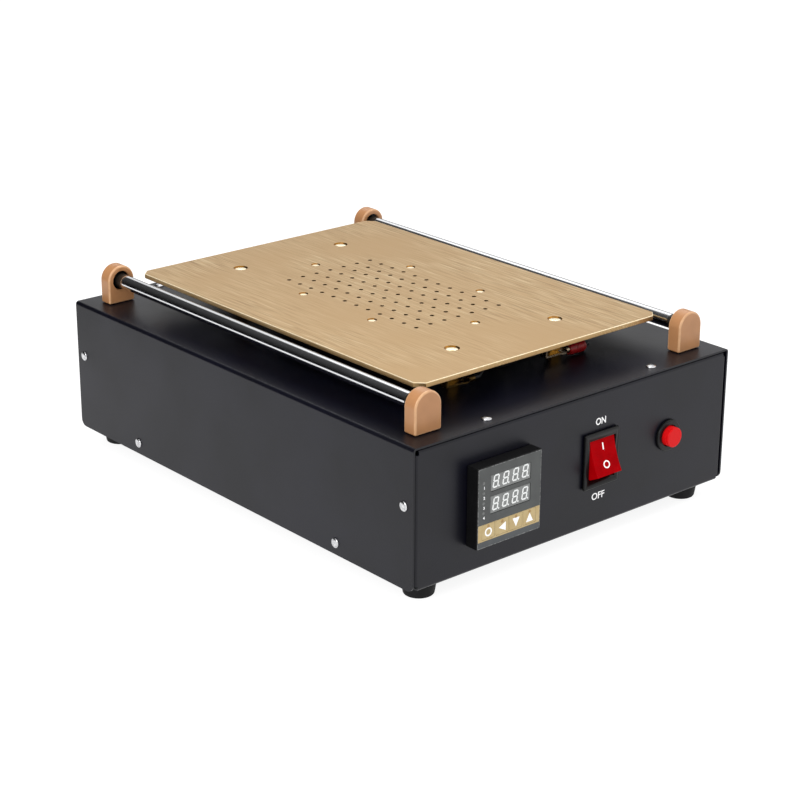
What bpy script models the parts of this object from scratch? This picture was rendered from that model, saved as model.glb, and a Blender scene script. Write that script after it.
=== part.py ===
"""Screen separator machine: a heated, perforated suction plate between two guide rods on a steel control box.

Units are metres and +Z is up. Every piece is placed in the frame of the empty "machine_frame", whose
z = 0 is the underside of the box and whose origin is the middle of the box's footprint. The empty lifts
the box onto its feet and centres the machine's whole outline on the world's origin.
"""

from math import asin, cos, degrees, hypot, pi, radians, sin, tan

import bmesh
import bpy
from mathutils import Matrix, Vector

# Clearances, stock and how finely round shapes are divided
SEAT_GAP = 0.0003
RUNNING_GAP = 0.0003
SHEET = 0.0012
BEND_RADIUS = 0.0020
EMBED = 0.0005
WELD_DISTANCE = 0.000001
ROUND_STEPS = 24
SMALL_STEPS = 12

# Control box
BODY_WIDTH = 0.250
BODY_DEPTH = 0.328
BODY_HEIGHT = 0.0843
FLANGE = 0.015
FLOOR_FLANGE = 0.013
RELIEF_ALONG = 0.003
RELIEF_ACROSS = 0.0025
COVER_CORNER_RADIUS = 0.0045

# Vents in the rear panel and in the floor
VENT_SLOT_WIDTH = 0.003
VENT_SLOT_LENGTH = 0.030
VENT_PITCH = 0.008
REAR_VENT_COUNT = 11
REAR_VENT_INSET_X = 0.067
REAR_VENT_Z = 0.048
FLOOR_VENT_COUNT = 9
FLOOR_VENT_Y = 0.100

# Feet
FOOT_HEIGHT = 0.0107
FOOT_TOP_RADIUS = 0.0104
FOOT_SOLE_RADIUS = 0.0090
FOOT_EDGE_RADIUS = 0.0012
FOOT_SCREW_RADIUS = 0.0022
FOOT_RECESS_RADIUS = 0.0048
FOOT_RECESS_DEPTH = 0.0070
FOOT_INSET_X = 0.0185
FOOT_INSET_Y = 0.0160

# Guide rods, their blocks and bearings
BLOCK_WIDTH = 0.0190
BLOCK_HEIGHT = 0.0240
BLOCK_THICKNESS = 0.0095
BLOCK_EDGE_RADIUS = 0.0009
BLOCK_SIDE_INSET = 0.0117
BLOCK_END_INSET = 0.0121
POCKET_RADIUS = 0.0063
POCKET_DEPTH = 0.0070
BEARING_WIDTH = 0.0035
BEARING_INSET = 0.0015
BEARING_SHIELD_DEPTH = 0.0004
BEARING_RACE = 0.0005
ROD_RADIUS = 0.0045
ROD_CHAMFER = 0.0005
ROD_END_PLAY = 0.0005

# Heating plate
PLATE_ROD_GAP = 0.0043
PLATE_BLOCK_GAP = 0.0084
PLATE_THICKNESS = 0.0030
PLATE_RISE = 0.0206
PLATE_CORNER = 0.0050
PLATE_EDGE = 0.0004
SUCTION_HOLE_RADIUS = 0.0014
SUCTION_PITCH = 0.0110
SUCTION_SIDE_MARGIN = 0.0600
SUCTION_END_MARGIN = 0.0725
PLATE_SCREW_INSET_X = 0.0540
PLATE_SCREW_INSET_Y = 0.0335
PLATE_SCREW_HEAD_RADIUS = 0.0046
PLATE_SCREW_RADIUS = 0.0020
PLATE_SCREW_LENGTH = 0.0140
PLATE_SCREW_SOCKET_RADIUS = 0.0015
PLATE_SCREW_SOCKET_DEPTH = 0.0014
CHAMBER_SCREW_HEAD_RADIUS = 0.0030
CHAMBER_SCREW_RADIUS = 0.0015
CHAMBER_SCREW_END_MARGIN = 0.0105
CHAMBER_SCREW_SIDE_MARGIN = 0.0061
CHAMBER_SCREW_SPREAD = 0.27

# Standoffs under the plate
STANDOFF_FLAT_RADIUS = 0.0045
STANDOFF_BORE_DEPTH = 0.0130
STANDOFF_STUD_LENGTH = 0.0080

# Suction chamber under the plate
CHAMBER_MARGIN = 0.0030
CHAMBER_FLANGE = 0.0140
CHAMBER_DEPTH = 0.0085
GASKET_THICKNESS = 0.0008
FITTING_RADIUS = 0.0040
FITTING_COLLAR_RADIUS = 0.0075
FITTING_COLLAR_HEIGHT = 0.0022
FITTING_BORE_RADIUS = 0.0020
FITTING_DROP = 0.0150
BARB_RISE = 0.0008
BARB_PITCH = 0.0030
BARB_COUNT = 2

# Heating element
HEATER_BORDER = 0.0080
HEATER_THICKNESS = 0.0016
HEATER_BACKING_THICKNESS = 0.0012
HEATER_CHAMBER_GAP = 0.0020
HEATER_STANDOFF_HOLE_RADIUS = 0.0068
PROBE_RADIUS = 0.0025
PROBE_LENGTH = 0.0100
PROBE_INSET_Y = 0.0310

# Heater terminals in front of the standoffs, and their leads
TERMINAL_LEFT_SHIFT = -0.0020
TERMINAL_RIGHT_SHIFT = -0.0060
TERMINAL_STANDOFF_GAP = 0.0115
TERMINAL_RISE = 0.0040
TERMINAL_LENGTH = 0.0140
TERMINAL_HALF_WIDTH = 0.0030
TERMINAL_THICKNESS = 0.0010
TERMINAL_RING_RADIUS = 0.0042
TERMINAL_HOLE_RADIUS = 0.0016
CRIMP_RADIUS = 0.0020
CRIMP_LENGTH = 0.0040
SLEEVE_RADIUS = 0.0036
SLEEVE_LENGTH = 0.0120
SLEEVE_GROOVE = 0.0005
LEAD_RADIUS = 0.0012
LEAD_BEND = 0.0040
LEAD_FLOOR_Z = 0.0080
LEAD_SPARE = 0.0070

# Grommets in the cover
GROMMET_LIP = 0.0020
GROMMET_LIP_HEIGHT = 0.0012
GROMMET_WALL = 0.0018
HOSE_HOLE_RADIUS = 0.0100
LEAD_HOLE_RADIUS = 0.0070
LEAD_HOLE_SETBACK = 0.0100

# Suction pump
PUMP_INSET_X = 0.0530
PUMP_Z = 0.0290
PUMP_HEAD_SIZE = (0.0420, 0.0300, 0.0460)
PUMP_HEAD_Y = 0.0300
PUMP_COVER_THICKNESS = 0.0100
PUMP_EDGE_RADIUS = 0.0025
PUMP_PORT_RADIUS = 0.0025
PUMP_PORT_LENGTH = 0.0090
PUMP_PORT_RAISE = 0.0120
MOTOR_RADIUS = 0.0180
MOTOR_LENGTH = 0.0560
MOTOR_BOSS_RADIUS = 0.0065
MOTOR_BOSS_LENGTH = 0.0030
BRACKET_SHEET = 0.0016
BRACKET_WIDTH = 0.0480
BRACKET_FOOT_LENGTH = 0.0600
BRACKET_SHOULDER = 0.0040
HOSE_RADIUS = 0.0040

# Power supply board
BOARD_SIZE = (0.0720, 0.0980, 0.0016)
BOARD_INSET_X = 0.0130
BOARD_INSET_Y = 0.0490
BOARD_LEG_HEIGHT = 0.0070
BOARD_LEG_RADIUS = 0.0030
BOARD_LEG_INSET = 0.0060
TRANSFORMER_SIZE = (0.0300, 0.0280, 0.0240)
CAPACITOR_RADIUS = 0.0080
CAPACITOR_HEIGHT = 0.0260
SINK_SIZE = (0.0050, 0.0600, 0.0280)
SINK_FIN_COUNT = 6
SINK_FIN_LENGTH = 0.0080
SINK_FIN_THICKNESS = 0.0020
CONNECTOR_SIZE = (0.0480, 0.0100, 0.0120)

# Solid-state relay
RELAY_SIZE = (0.0450, 0.0580, 0.0180)
RELAY_BASE_THICKNESS = 0.0046
RELAY_CENTRE = (-0.0080, -0.0300)
RELAY_STEP_LENGTH = 0.0140
RELAY_STEP_HEIGHT = 0.0060
RELAY_BARRIER_WIDTH = 0.0030

# Temperature controller
PANEL_DROP = 0.00095
CONTROLLER_INSET_X = 0.0624
CONTROLLER_FACE = 0.0480
CONTROLLER_PROTRUSION = 0.0090
CONTROLLER_CASE = 0.0444
CONTROLLER_DEPTH = 0.0700
CONTROLLER_EDGE = 0.0004
FASCIA_MARGIN = 0.0009
FASCIA_THICKNESS = 0.0012
FASCIA_RECESS = 0.0002
LENS_THICKNESS = 0.0010
LENS_BORDER = 0.0014
WINDOW_WIDTH = 0.0302
WINDOW_OFFSET_X = 0.0007
UPPER_WINDOW_HEIGHT = 0.0098
UPPER_WINDOW_Z = 0.0133
LOWER_WINDOW_HEIGHT = 0.0106
LOWER_WINDOW_Z = 0.0005
KEY_NAMES = ("set", "shift", "down", "up")
KEY_PITCH = 0.0104
KEY_ROW_X = 0.0
KEY_ROW_Z = -0.0144
KEY_WIDTH = 0.0094
KEY_HEIGHT = 0.0088
KEY_DEPTH = 0.0028
KEY_PROUD = 0.0002
KEY_TRAVEL = 0.0005
KEY_WELL_SPARE = 0.0004
KEY_EDGE = 0.0006
CLAMP_WALL = 0.0020
CLAMP_LENGTH = 0.0140

# Power rocker switch
ROCKER_X = 0.0168
ROCKER_RAISE = 0.0011
ROCKER_BEZEL_WIDTH = 0.0276
ROCKER_BEZEL_HEIGHT = 0.0340
ROCKER_BEZEL_PROUD = 0.0025
ROCKER_BEZEL_EDGE = 0.0008
ROCKER_WIDTH = 0.0196
ROCKER_HALF_HEIGHT = 0.01065
ROCKER_THROW = 40.0
ROCKER_CREST = 0.00565
ROCKER_DISH_DEPTH = 0.00090
ROCKER_DISH_STEPS = 8
ROCKER_FLARE = 6.0
ROCKER_SIDE_DEPTH = 0.0070
ROCKER_SINK = 0.0009
ROCKER_KEEL_DEPTH = 0.0070
ROCKER_KEEL_HALF = 0.0055
ROCKER_PIN_RADIUS = 0.0015
ROCKER_PIN_LENGTH = 0.0018
ROCKER_WALL = 0.0020
ROCKER_SIDE_GAP = 0.0008
ROCKER_END_GAP = 0.0004
ROCKER_WELL_SPARE = 0.0006
ROCKER_BODY_DEPTH = 0.0210
TAB_SIZE = (0.0063, 0.0080, 0.0008)
TAB_SPACING = 0.0100

# Suction push-button
BUTTON_INSET_X = 0.0510
BUTTON_RAISE = 0.0006
BUTTON_RING_RADIUS = 0.00975
BUTTON_RING_PROUD = 0.0022
BUTTON_RING_EDGE = 0.0009
BUTTON_BARREL_RADIUS = 0.0077
BUTTON_BARREL_LENGTH = 0.0230
BUTTON_CAP_RADIUS = 0.0061
BUTTON_CAP_PROUD = 0.0042
BUTTON_CAP_LENGTH = 0.0120
BUTTON_CAP_EDGE = 0.0006
BUTTON_CAP_GROOVE = 0.0003
BUTTON_TRAVEL = 0.0030
BUTTON_WELL_SPARE = 0.0010
BUTTON_NUT_RADIUS = 0.0110
BUTTON_NUT_THICKNESS = 0.0030

# Mains inlet in the rear panel
INLET_INSET_X = 0.0490
INLET_Z = 0.0340
INLET_FLANGE_SIZE = (0.0480, 0.0220)
INLET_FLANGE_THICKNESS = 0.0026
INLET_FLANGE_CORNER = 0.0040
INLET_MOUTH = (0.0246, 0.0166)
INLET_MOUTH_CHAMFER = 0.0040
INLET_MOUTH_DEPTH = 0.0160
INLET_WALL = 0.0014
INLET_BODY_DEPTH = 0.0220
INLET_PIN = (0.0020, 0.0040)
INLET_PIN_SETBACK = 0.0020
INLET_PIN_SPACING = 0.0070
INLET_PIN_DROP = -0.0002
INLET_EARTH_RAISE = 0.0032

# Heights and planes that follow from the sizes above
FRONT = -BODY_DEPTH / 2
REAR = BODY_DEPTH / 2
COVER_TOP = BODY_HEIGHT
TRAY_HALF_WIDTH = BODY_WIDTH / 2 - SHEET - SEAT_GAP
TRAY_TOP = BODY_HEIGHT - SHEET - SEAT_GAP
TRAY_FLOOR = SHEET + SEAT_GAP
BLOCK_X = BODY_WIDTH / 2 - BLOCK_SIDE_INSET - BLOCK_WIDTH / 2
BLOCK_FOOT = COVER_TOP + SEAT_GAP
ROD_Z = BLOCK_FOOT + BLOCK_HEIGHT - BLOCK_WIDTH / 2
BLOCK_OUTER_Y = BODY_DEPTH / 2 - BLOCK_END_INSET
BLOCK_INNER_Y = BLOCK_OUTER_Y - BLOCK_THICKNESS
PLATE_WIDTH = 2 * (BLOCK_X - ROD_RADIUS - PLATE_ROD_GAP)
PLATE_LENGTH = 2 * (BLOCK_INNER_Y - PLATE_BLOCK_GAP)
PLATE_SCREW_X = PLATE_WIDTH / 2 - PLATE_SCREW_INSET_X
PLATE_SCREW_Y = PLATE_LENGTH / 2 - PLATE_SCREW_INSET_Y
PLATE_TOP = COVER_TOP + PLATE_RISE
PLATE_UNDERSIDE = PLATE_TOP - PLATE_THICKNESS
SUCTION_COLUMNS = 1 + int((PLATE_WIDTH - 2 * SUCTION_SIDE_MARGIN) / SUCTION_PITCH)
SUCTION_ROWS = 1 + int((PLATE_LENGTH - 2 * SUCTION_END_MARGIN) / SUCTION_PITCH)
CHAMBER_HALF_X = (SUCTION_COLUMNS - 1) * SUCTION_PITCH / 2 + SUCTION_HOLE_RADIUS + CHAMBER_MARGIN
CHAMBER_HALF_Y = (SUCTION_ROWS - 1) * SUCTION_PITCH / 2 + SUCTION_HOLE_RADIUS + CHAMBER_MARGIN
CHAMBER_SCREW_END_Y = CHAMBER_HALF_Y + CHAMBER_SCREW_END_MARGIN
CHAMBER_SCREW_SIDE_X = CHAMBER_HALF_X + CHAMBER_SCREW_SIDE_MARGIN
CHAMBER_SCREW_SIDE_Y = (SUCTION_ROWS - 1) * SUCTION_PITCH * CHAMBER_SCREW_SPREAD
CHAMBER_RIM_X = CHAMBER_HALF_X + CHAMBER_FLANGE
CHAMBER_RIM_Y = CHAMBER_HALF_Y + CHAMBER_FLANGE
CHAMBER_RIM_TOP = PLATE_UNDERSIDE - GASKET_THICKNESS - 2 * SEAT_GAP
CHAMBER_UNDERSIDE = CHAMBER_RIM_TOP - CHAMBER_DEPTH - SHEET
HEATER_HALF_X = PLATE_WIDTH / 2 - HEATER_BORDER
HEATER_HALF_Y = PLATE_LENGTH / 2 - HEATER_BORDER
HEATER_TOP = PLATE_UNDERSIDE - SEAT_GAP
HEATER_BACKING_TOP = HEATER_TOP - HEATER_THICKNESS - SEAT_GAP
TERMINAL_Z = COVER_TOP + TERMINAL_RISE
TERMINAL_Y = -PLATE_SCREW_Y - TERMINAL_STANDOFF_GAP
TERMINAL_LEFT_X = TERMINAL_LEFT_SHIFT - PLATE_SCREW_X
TERMINAL_RIGHT_X = TERMINAL_RIGHT_SHIFT + PLATE_SCREW_X
PROBE_Y = PROBE_INSET_Y - PLATE_LENGTH / 2
LEAD_HOLE_Y = PROBE_Y + LEAD_HOLE_SETBACK
PUMP_X = BODY_WIDTH / 2 - PUMP_INSET_X
BOARD_X = BOARD_INSET_X + (BOARD_SIZE[0] - BODY_WIDTH) / 2
BOARD_Y = REAR - BOARD_INSET_Y - BOARD_SIZE[1] / 2
PANEL_Z = BODY_HEIGHT / 2 - PANEL_DROP
CONTROLLER_X = CONTROLLER_INSET_X - BODY_WIDTH / 2
CONTROLLER_Z = PANEL_Z
ROCKER_Z = PANEL_Z + ROCKER_RAISE
BUTTON_X = BODY_WIDTH / 2 - BUTTON_INSET_X
BUTTON_Z = PANEL_Z + BUTTON_RAISE
INLET_X = INLET_INSET_X - BODY_WIDTH / 2
REAR_VENT_X = BODY_WIDTH / 2 - REAR_VENT_INSET_X
CONTROLLER_FRONT = FRONT - CONTROLLER_PROTRUSION
ROCKER_BEZEL_FRONT = FRONT - ROCKER_BEZEL_PROUD
BUTTON_RING_FRONT = FRONT - BUTTON_RING_PROUD
INLET_FRONT = REAR + SEAT_GAP + INLET_FLANGE_THICKNESS
FRONT_REACH = -min(CONTROLLER_FRONT, BUTTON_RING_FRONT - BUTTON_CAP_PROUD)
FRAME_SHIFT = (FRONT_REACH - INLET_FRONT) / 2

# Turns a shape made along +Z so that it runs along +Y, -Y or +X
TO_REAR = (-pi / 2, 0.0, 0.0)
TO_FRONT = (pi / 2, 0.0, 0.0)
TO_RIGHT = (0.0, pi / 2, 0.0)
SHARP = radians(35)


# Scene, collections and materials


def clear_scene():
    """Remove whatever the startup file holds."""
    for obj in list(bpy.data.objects):
        bpy.data.objects.remove(obj, do_unlink=True)


def new_collection(name):
    """Make a collection in the scene."""
    collection = bpy.data.collections.new(name)
    bpy.context.scene.collection.children.link(collection)
    return collection


def material(name, colour, roughness, metallic=0.0, alpha=1.0):
    """Principled material with one colour, roughness and metallic value."""
    made = bpy.data.materials.new(name)
    made.use_nodes = True
    shader = made.node_tree.nodes["Principled BSDF"]
    shader.inputs["Base Color"].default_value = (*colour, 1.0)
    shader.inputs["Roughness"].default_value = roughness
    shader.inputs["Metallic"].default_value = metallic
    shader.inputs["Alpha"].default_value = alpha
    made.diffuse_color = (*colour, 1.0)
    return made


def add_object(name, mesh, paint=None, place=(0, 0, 0), turn=(0, 0, 0)):
    """Put a mesh in the machine as an object with its own material."""
    obj = bpy.data.objects.new(name, mesh)
    PARTS.objects.link(obj)
    obj.parent = FRAME
    obj.location = place
    obj.rotation_euler = turn
    if paint is not None:
        mesh.materials.append(paint)
    return obj


def add_helper(name, mesh, place=(0, 0, 0), turn=(0, 0, 0)):
    """Put a mesh among the cutters, out of the render."""
    obj = bpy.data.objects.new(name, mesh)
    CUTTERS.objects.link(obj)
    obj.parent = FRAME
    obj.location = place
    obj.rotation_euler = turn
    obj.hide_render = True
    obj.display_type = "WIRE"
    return obj


def boolean(obj, helper, operation="DIFFERENCE"):
    """Cut or join an object with a helper."""
    modifier = obj.modifiers.new(helper.name, "BOOLEAN")
    modifier.operation = operation
    modifier.object = helper
    modifier.solver = "EXACT"


def cut(obj, *helpers):
    """Cut the helpers' shapes out of an object."""
    for helper in helpers:
        boolean(obj, helper)


def join(obj, *helpers):
    """Join the helpers' shapes to an object as one body."""
    for helper in helpers:
        boolean(obj, helper, "UNION")


def bevel(obj, width, segments=2, angle=60.0):
    """Round every edge sharper than the given angle in degrees."""
    modifier = obj.modifiers.new("bevel", "BEVEL")
    modifier.width = width
    modifier.segments = segments
    modifier.limit_method = "ANGLE"
    modifier.angle_limit = radians(angle)
    return modifier


def solidify(obj, thickness, inwards=True):
    """Give an open surface its wall."""
    modifier = obj.modifiers.new("wall", "SOLIDIFY")
    modifier.thickness = thickness
    modifier.offset = -1.0 if inwards else 1.0
    modifier.use_even_offset = True


def mirror_x(obj):
    """Mirror a half that is open at x = 0."""
    modifier = obj.modifiers.new("other_half", "MIRROR")
    modifier.use_axis = (True, False, False)
    modifier.merge_threshold = 10 * WELD_DISTANCE


def repeat(obj, count, step):
    """Repeat an object along a step given as a vector."""
    modifier = obj.modifiers.new("repeat", "ARRAY")
    modifier.count = count
    modifier.use_relative_offset = False
    modifier.use_constant_offset = True
    modifier.constant_offset_displace = step


# Meshes


def finish_mesh(name, shape, smooth=False):
    """Turn a bmesh into a mesh, shaded smooth across its soft edges if asked."""
    mesh = bpy.data.meshes.new(name)
    shape.to_mesh(mesh)
    shape.free()
    if smooth:
        mesh.shade_smooth()
        mesh.set_sharp_from_angle(angle=SHARP)
    return mesh


def box_mesh(name, size, centre=(0, 0, 0)):
    """Box of the given size about a centre."""
    shape = bmesh.new()
    bmesh.ops.create_cube(shape, size=1.0)
    bmesh.ops.scale(shape, vec=size, verts=shape.verts)
    bmesh.ops.translate(shape, vec=centre, verts=shape.verts)
    return finish_mesh(name, shape)


def round_mesh(name, radius, length, start=0.0, steps=ROUND_STEPS, end_radius=None):
    """Cylinder or cone along +Z that begins at height start."""
    shape = bmesh.new()
    bmesh.ops.create_cone(
        shape,
        cap_ends=True,
        segments=steps,
        radius1=radius,
        radius2=radius if end_radius is None else end_radius,
        depth=length,
        matrix=Matrix.Translation((0, 0, start + length / 2)),
    )
    return finish_mesh(name, shape, smooth=steps > 6)


def arc(centre, radius, start, end, steps):
    """Points of an arc, angles in degrees, both ends included."""
    angles = [radians(start + (end - start) * i / steps) for i in range(steps + 1)]
    return [(centre[0] + radius * cos(a), centre[1] + radius * sin(a)) for a in angles]


def circle(centre, radius, steps):
    """Points of a whole circle."""
    return arc(centre, radius, 0.0, 360.0, steps)[:-1]


def rectangle(half_x, half_y, chamfer=0.0):
    """Corners of a rectangle about the origin, with chamfered corners if asked."""
    if chamfer == 0.0:
        return [(half_x, -half_y), (half_x, half_y), (-half_x, half_y), (-half_x, -half_y)]
    inner_x, inner_y = half_x - chamfer, half_y - chamfer
    return [
        (half_x, -inner_y),
        (half_x, inner_y),
        (inner_x, half_y),
        (-inner_x, half_y),
        (-half_x, inner_y),
        (-half_x, -inner_y),
        (-inner_x, -half_y),
        (inner_x, -half_y),
    ]


def rounded_rectangle(half_x, half_y, radius, steps=4):
    """Outline of a rectangle about the origin with round corners."""
    inner_x, inner_y = half_x - radius, half_y - radius
    points = []
    for corner, (sign_x, sign_y) in enumerate(((1, 1), (-1, 1), (-1, -1), (1, -1))):
        points += arc((sign_x * inner_x, sign_y * inner_y), radius, 90 * corner, 90 * corner + 90, steps)
    return points


def outline_mesh(name, outline, thickness, holes=(), start=0.0):
    """Flat plate in XY from a 2D curve with holes, its lower face at height start."""
    curve = bpy.data.curves.new(name + "_outline", "CURVE")
    curve.dimensions = "2D"
    curve.fill_mode = "BOTH"
    curve.extrude = thickness / 2
    for loop in (outline, *holes):
        spline = curve.splines.new("POLY")
        spline.points.add(len(loop) - 1)
        for point, (x, y) in zip(spline.points, loop):
            point.co = (x, y, 0.0, 1.0)
        spline.use_cyclic_u = True
    guide = bpy.data.objects.new(name + "_guide", curve)
    bpy.context.scene.collection.objects.link(guide)
    graph = bpy.context.evaluated_depsgraph_get()
    mesh = bpy.data.meshes.new_from_object(guide.evaluated_get(graph))
    bpy.data.objects.remove(guide, do_unlink=True)
    bpy.data.curves.remove(curve)
    shape = bmesh.new()
    shape.from_mesh(mesh)
    bpy.data.meshes.remove(mesh)
    bmesh.ops.remove_doubles(shape, verts=shape.verts, dist=WELD_DISTANCE)
    bmesh.ops.recalc_face_normals(shape, faces=shape.faces)
    bmesh.ops.translate(shape, vec=(0, 0, start + thickness / 2), verts=shape.verts)
    return finish_mesh(name, shape)


def turned_object(name, profile, paint, place, turn=(0, 0, 0), steps=ROUND_STEPS, closed=False):
    """Solid turned about its local Z from (radius, height) points that run down its outer side."""
    shape = bmesh.new()
    verts = [shape.verts.new((radius, 0, height)) for radius, height in profile]
    for first, second in zip(verts, verts[1:]):
        shape.edges.new((first, second))
    if closed:
        shape.edges.new((verts[-1], verts[0]))
    obj = add_object(name, finish_mesh(name, shape), paint, place, turn)
    screw = obj.modifiers.new("turn", "SCREW")
    screw.axis = "Z"
    screw.steps = steps
    screw.render_steps = steps
    screw.use_merge_vertices = True
    screw.merge_threshold = 10 * WELD_DISTANCE
    screw.use_smooth_shade = True
    return obj


def turned_helper(name, profile, place, turn=(0, 0, 0), steps=SMALL_STEPS):
    """Turned shape kept among the cutters, out of the render."""
    helper = turned_object(name, profile, None, place, turn, steps)
    PARTS.objects.unlink(helper)
    CUTTERS.objects.link(helper)
    helper.hide_render = True
    helper.display_type = "WIRE"
    return helper


def tube_object(name, points, radius, paint, resolution=2):
    """Round tube along smooth points, with closed ends."""
    curve = bpy.data.curves.new(name, "CURVE")
    curve.dimensions = "3D"
    curve.bevel_depth = radius
    curve.bevel_resolution = resolution
    curve.use_fill_caps = True
    spline = curve.splines.new("POLY")
    spline.points.add(len(points) - 1)
    for point, place in zip(spline.points, points):
        point.co = (*place, 1.0)
    curve.materials.append(paint)
    obj = bpy.data.objects.new(name, curve)
    PARTS.objects.link(obj)
    obj.parent = FRAME
    return obj


def smooth_route(stops, steps=3):
    """Points on a smooth curve through the stops, with straight first and last stretches."""
    points = [stops[0]]
    for a, b, c, d in zip(stops, stops[1:], stops[2:], stops[3:]):
        for i in range(steps):
            t = i / steps
            points.append(
                0.5 * (2 * b + (c - a) * t + (2 * a - 5 * b + 4 * c - d) * t**2 + (3 * b - a - 3 * c + d) * t**3)
            )
    return [*points, stops[-2], stops[-1]]


def panel(shape, corners):
    """One flat panel of a folded sheet."""
    return shape.faces.new([shape.verts.new(corner) for corner in corners])


def folded_mesh(name, shape):
    """Join the panels of a folded sheet at their shared edges."""
    bmesh.ops.remove_doubles(shape, verts=shape.verts, dist=WELD_DISTANCE)
    bmesh.ops.recalc_face_normals(shape, faces=shape.faces)
    return finish_mesh(name, shape)


# Control box


def build_base_tray():
    """Floor, front and rear panels folded from one sheet, with relieved return flanges."""
    half = TRAY_HALF_WIDTH
    neck = half - RELIEF_ACROSS
    side_start = REAR - FLANGE - RELIEF_ALONG
    foot, head = RELIEF_ALONG, TRAY_TOP - RELIEF_ALONG
    shape = bmesh.new()
    floor = [(0, FRONT), (neck, FRONT), (neck, -side_start), (half, -side_start)]
    floor += [(half, side_start), (neck, side_start), (neck, REAR), (0, REAR)]
    panel(shape, [(x, y, 0) for x, y in floor])
    panel(
        shape,
        [
            (half, -side_start, 0),
            (half, side_start, 0),
            (half, side_start, FLOOR_FLANGE),
            (half, -side_start, FLOOR_FLANGE),
        ],
    )
    for wall in (FRONT, REAR):
        lip = wall - FLANGE if wall > 0 else wall + FLANGE
        edge = [(0, 0), (neck, 0), (neck, foot), (half, foot), (half, head), (neck, head)]
        edge += [(neck, TRAY_TOP), (0, TRAY_TOP)]
        panel(shape, [(x, wall, z) for x, z in edge])
        panel(shape, [(half, wall, foot), (half, lip, foot), (half, lip, head), (half, wall, head)])
        panel(shape, [(0, wall, TRAY_TOP), (neck, wall, TRAY_TOP), (neck, lip, TRAY_TOP), (0, lip, TRAY_TOP)])
    tray = add_object("base_tray", folded_mesh("base_tray", shape), BLACK_COAT)
    mirror_x(tray)
    bevel(tray, BEND_RADIUS, segments=3)
    solidify(tray, SHEET)

    through = 4 * SHEET
    case_hole = CONTROLLER_CASE + 2 * SEAT_GAP
    rocker_hole_x, rocker_hole_z = (side + 2 * SEAT_GAP for side in rocker_body_size())
    cut(
        tray,
        add_helper(
            "controller_cut_out",
            box_mesh("controller_cut_out", (case_hole, through, case_hole)),
            (CONTROLLER_X, FRONT, CONTROLLER_Z),
        ),
        add_helper(
            "rocker_cut_out",
            box_mesh("rocker_cut_out", (rocker_hole_x, through, rocker_hole_z)),
            (ROCKER_X, FRONT, ROCKER_Z),
        ),
        add_helper(
            "button_cut_out",
            round_mesh("button_cut_out", BUTTON_BARREL_RADIUS + SEAT_GAP, through),
            (BUTTON_X, FRONT - SHEET, BUTTON_Z),
            TO_REAR,
        ),
        add_helper(
            "inlet_cut_out",
            box_mesh("inlet_cut_out", (*inlet_hole(), through)),
            (INLET_X, REAR, INLET_Z),
            TO_REAR,
        ),
        slot_row("rear_vent_cut", REAR_VENT_COUNT, (REAR_VENT_X, REAR, REAR_VENT_Z), TO_REAR),
        slot_row("floor_vent_cut_front", FLOOR_VENT_COUNT, (0, -FLOOR_VENT_Y, 0), (0, 0, 0)),
        slot_row("floor_vent_cut_rear", FLOOR_VENT_COUNT, (0, FLOOR_VENT_Y, 0), (0, 0, 0)),
    )
    for sign_x, sign_y, corner in corner_signs():
        hole = round_mesh("foot_hole_" + corner, FOOT_SCREW_RADIUS, through, -through / 2, SMALL_STEPS)
        place = (sign_x * (BODY_WIDTH / 2 - FOOT_INSET_X), sign_y * (BODY_DEPTH / 2 - FOOT_INSET_Y), 0)
        cut(tray, add_helper("foot_hole_" + corner, hole, place))


def slot_row(name, count, centre, turn):
    """Cutter for a row of round-ended vent slots along X about a centre."""
    half_width = VENT_SLOT_WIDTH / 2
    outline = rounded_rectangle(half_width, VENT_SLOT_LENGTH / 2, half_width * 0.98, steps=3)
    slots = add_helper(name, outline_mesh(name, outline, 6 * SHEET, start=-3 * SHEET), turn=turn)
    slots.location = Vector(centre) - Vector((VENT_PITCH * (count - 1) / 2, 0, 0))
    repeat(slots, count, (VENT_PITCH, 0, 0))
    return slots


def build_top_cover():
    """Top and both sides folded from one sheet, with the holes for what passes down from the plate."""
    side = BODY_WIDTH / 2
    radius = COVER_CORNER_RADIUS
    shape = bmesh.new()
    panel(shape, [(0, FRONT, COVER_TOP), (side, FRONT, COVER_TOP), (side, REAR, COVER_TOP), (0, REAR, COVER_TOP)])
    edge = [(REAR, COVER_TOP), (FRONT, COVER_TOP)]
    edge += arc((FRONT + radius, radius), radius, 180, 270, 4)
    edge += arc((REAR - radius, radius), radius, 270, 360, 4)
    panel(shape, [(side, y, z) for y, z in edge])
    cover = add_object("top_cover", folded_mesh("top_cover", shape), BLACK_COAT)
    mirror_x(cover)
    bevel(cover, BEND_RADIUS, segments=4)
    solidify(cover, SHEET)
    through = 4 * SHEET
    start = -SHEET - through / 2
    hose_hole = round_mesh("hose_hole", HOSE_HOLE_RADIUS, through, start)
    lead_hole = round_mesh("lead_hole", LEAD_HOLE_RADIUS, through, start)
    cut(
        cover,
        add_helper("hose_hole", hose_hole, (0, 0, COVER_TOP)),
        add_helper("lead_hole", lead_hole, (0, LEAD_HOLE_Y, COVER_TOP)),
    )
    for sign_x, sign_y, corner in corner_signs():
        hole = round_mesh("stud_hole_" + corner, PLATE_SCREW_RADIUS + SEAT_GAP, through, start, SMALL_STEPS)
        place = (sign_x * PLATE_SCREW_X, sign_y * PLATE_SCREW_Y, COVER_TOP)
        cut(cover, add_helper("stud_hole_" + corner, hole, place))


def corner_signs():
    """The four corners of the machine as (sign of x, sign of y, name)."""
    return [
        (-1, -1, "front_left"),
        (1, -1, "front_right"),
        (-1, 1, "rear_left"),
        (1, 1, "rear_right"),
    ]


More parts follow.
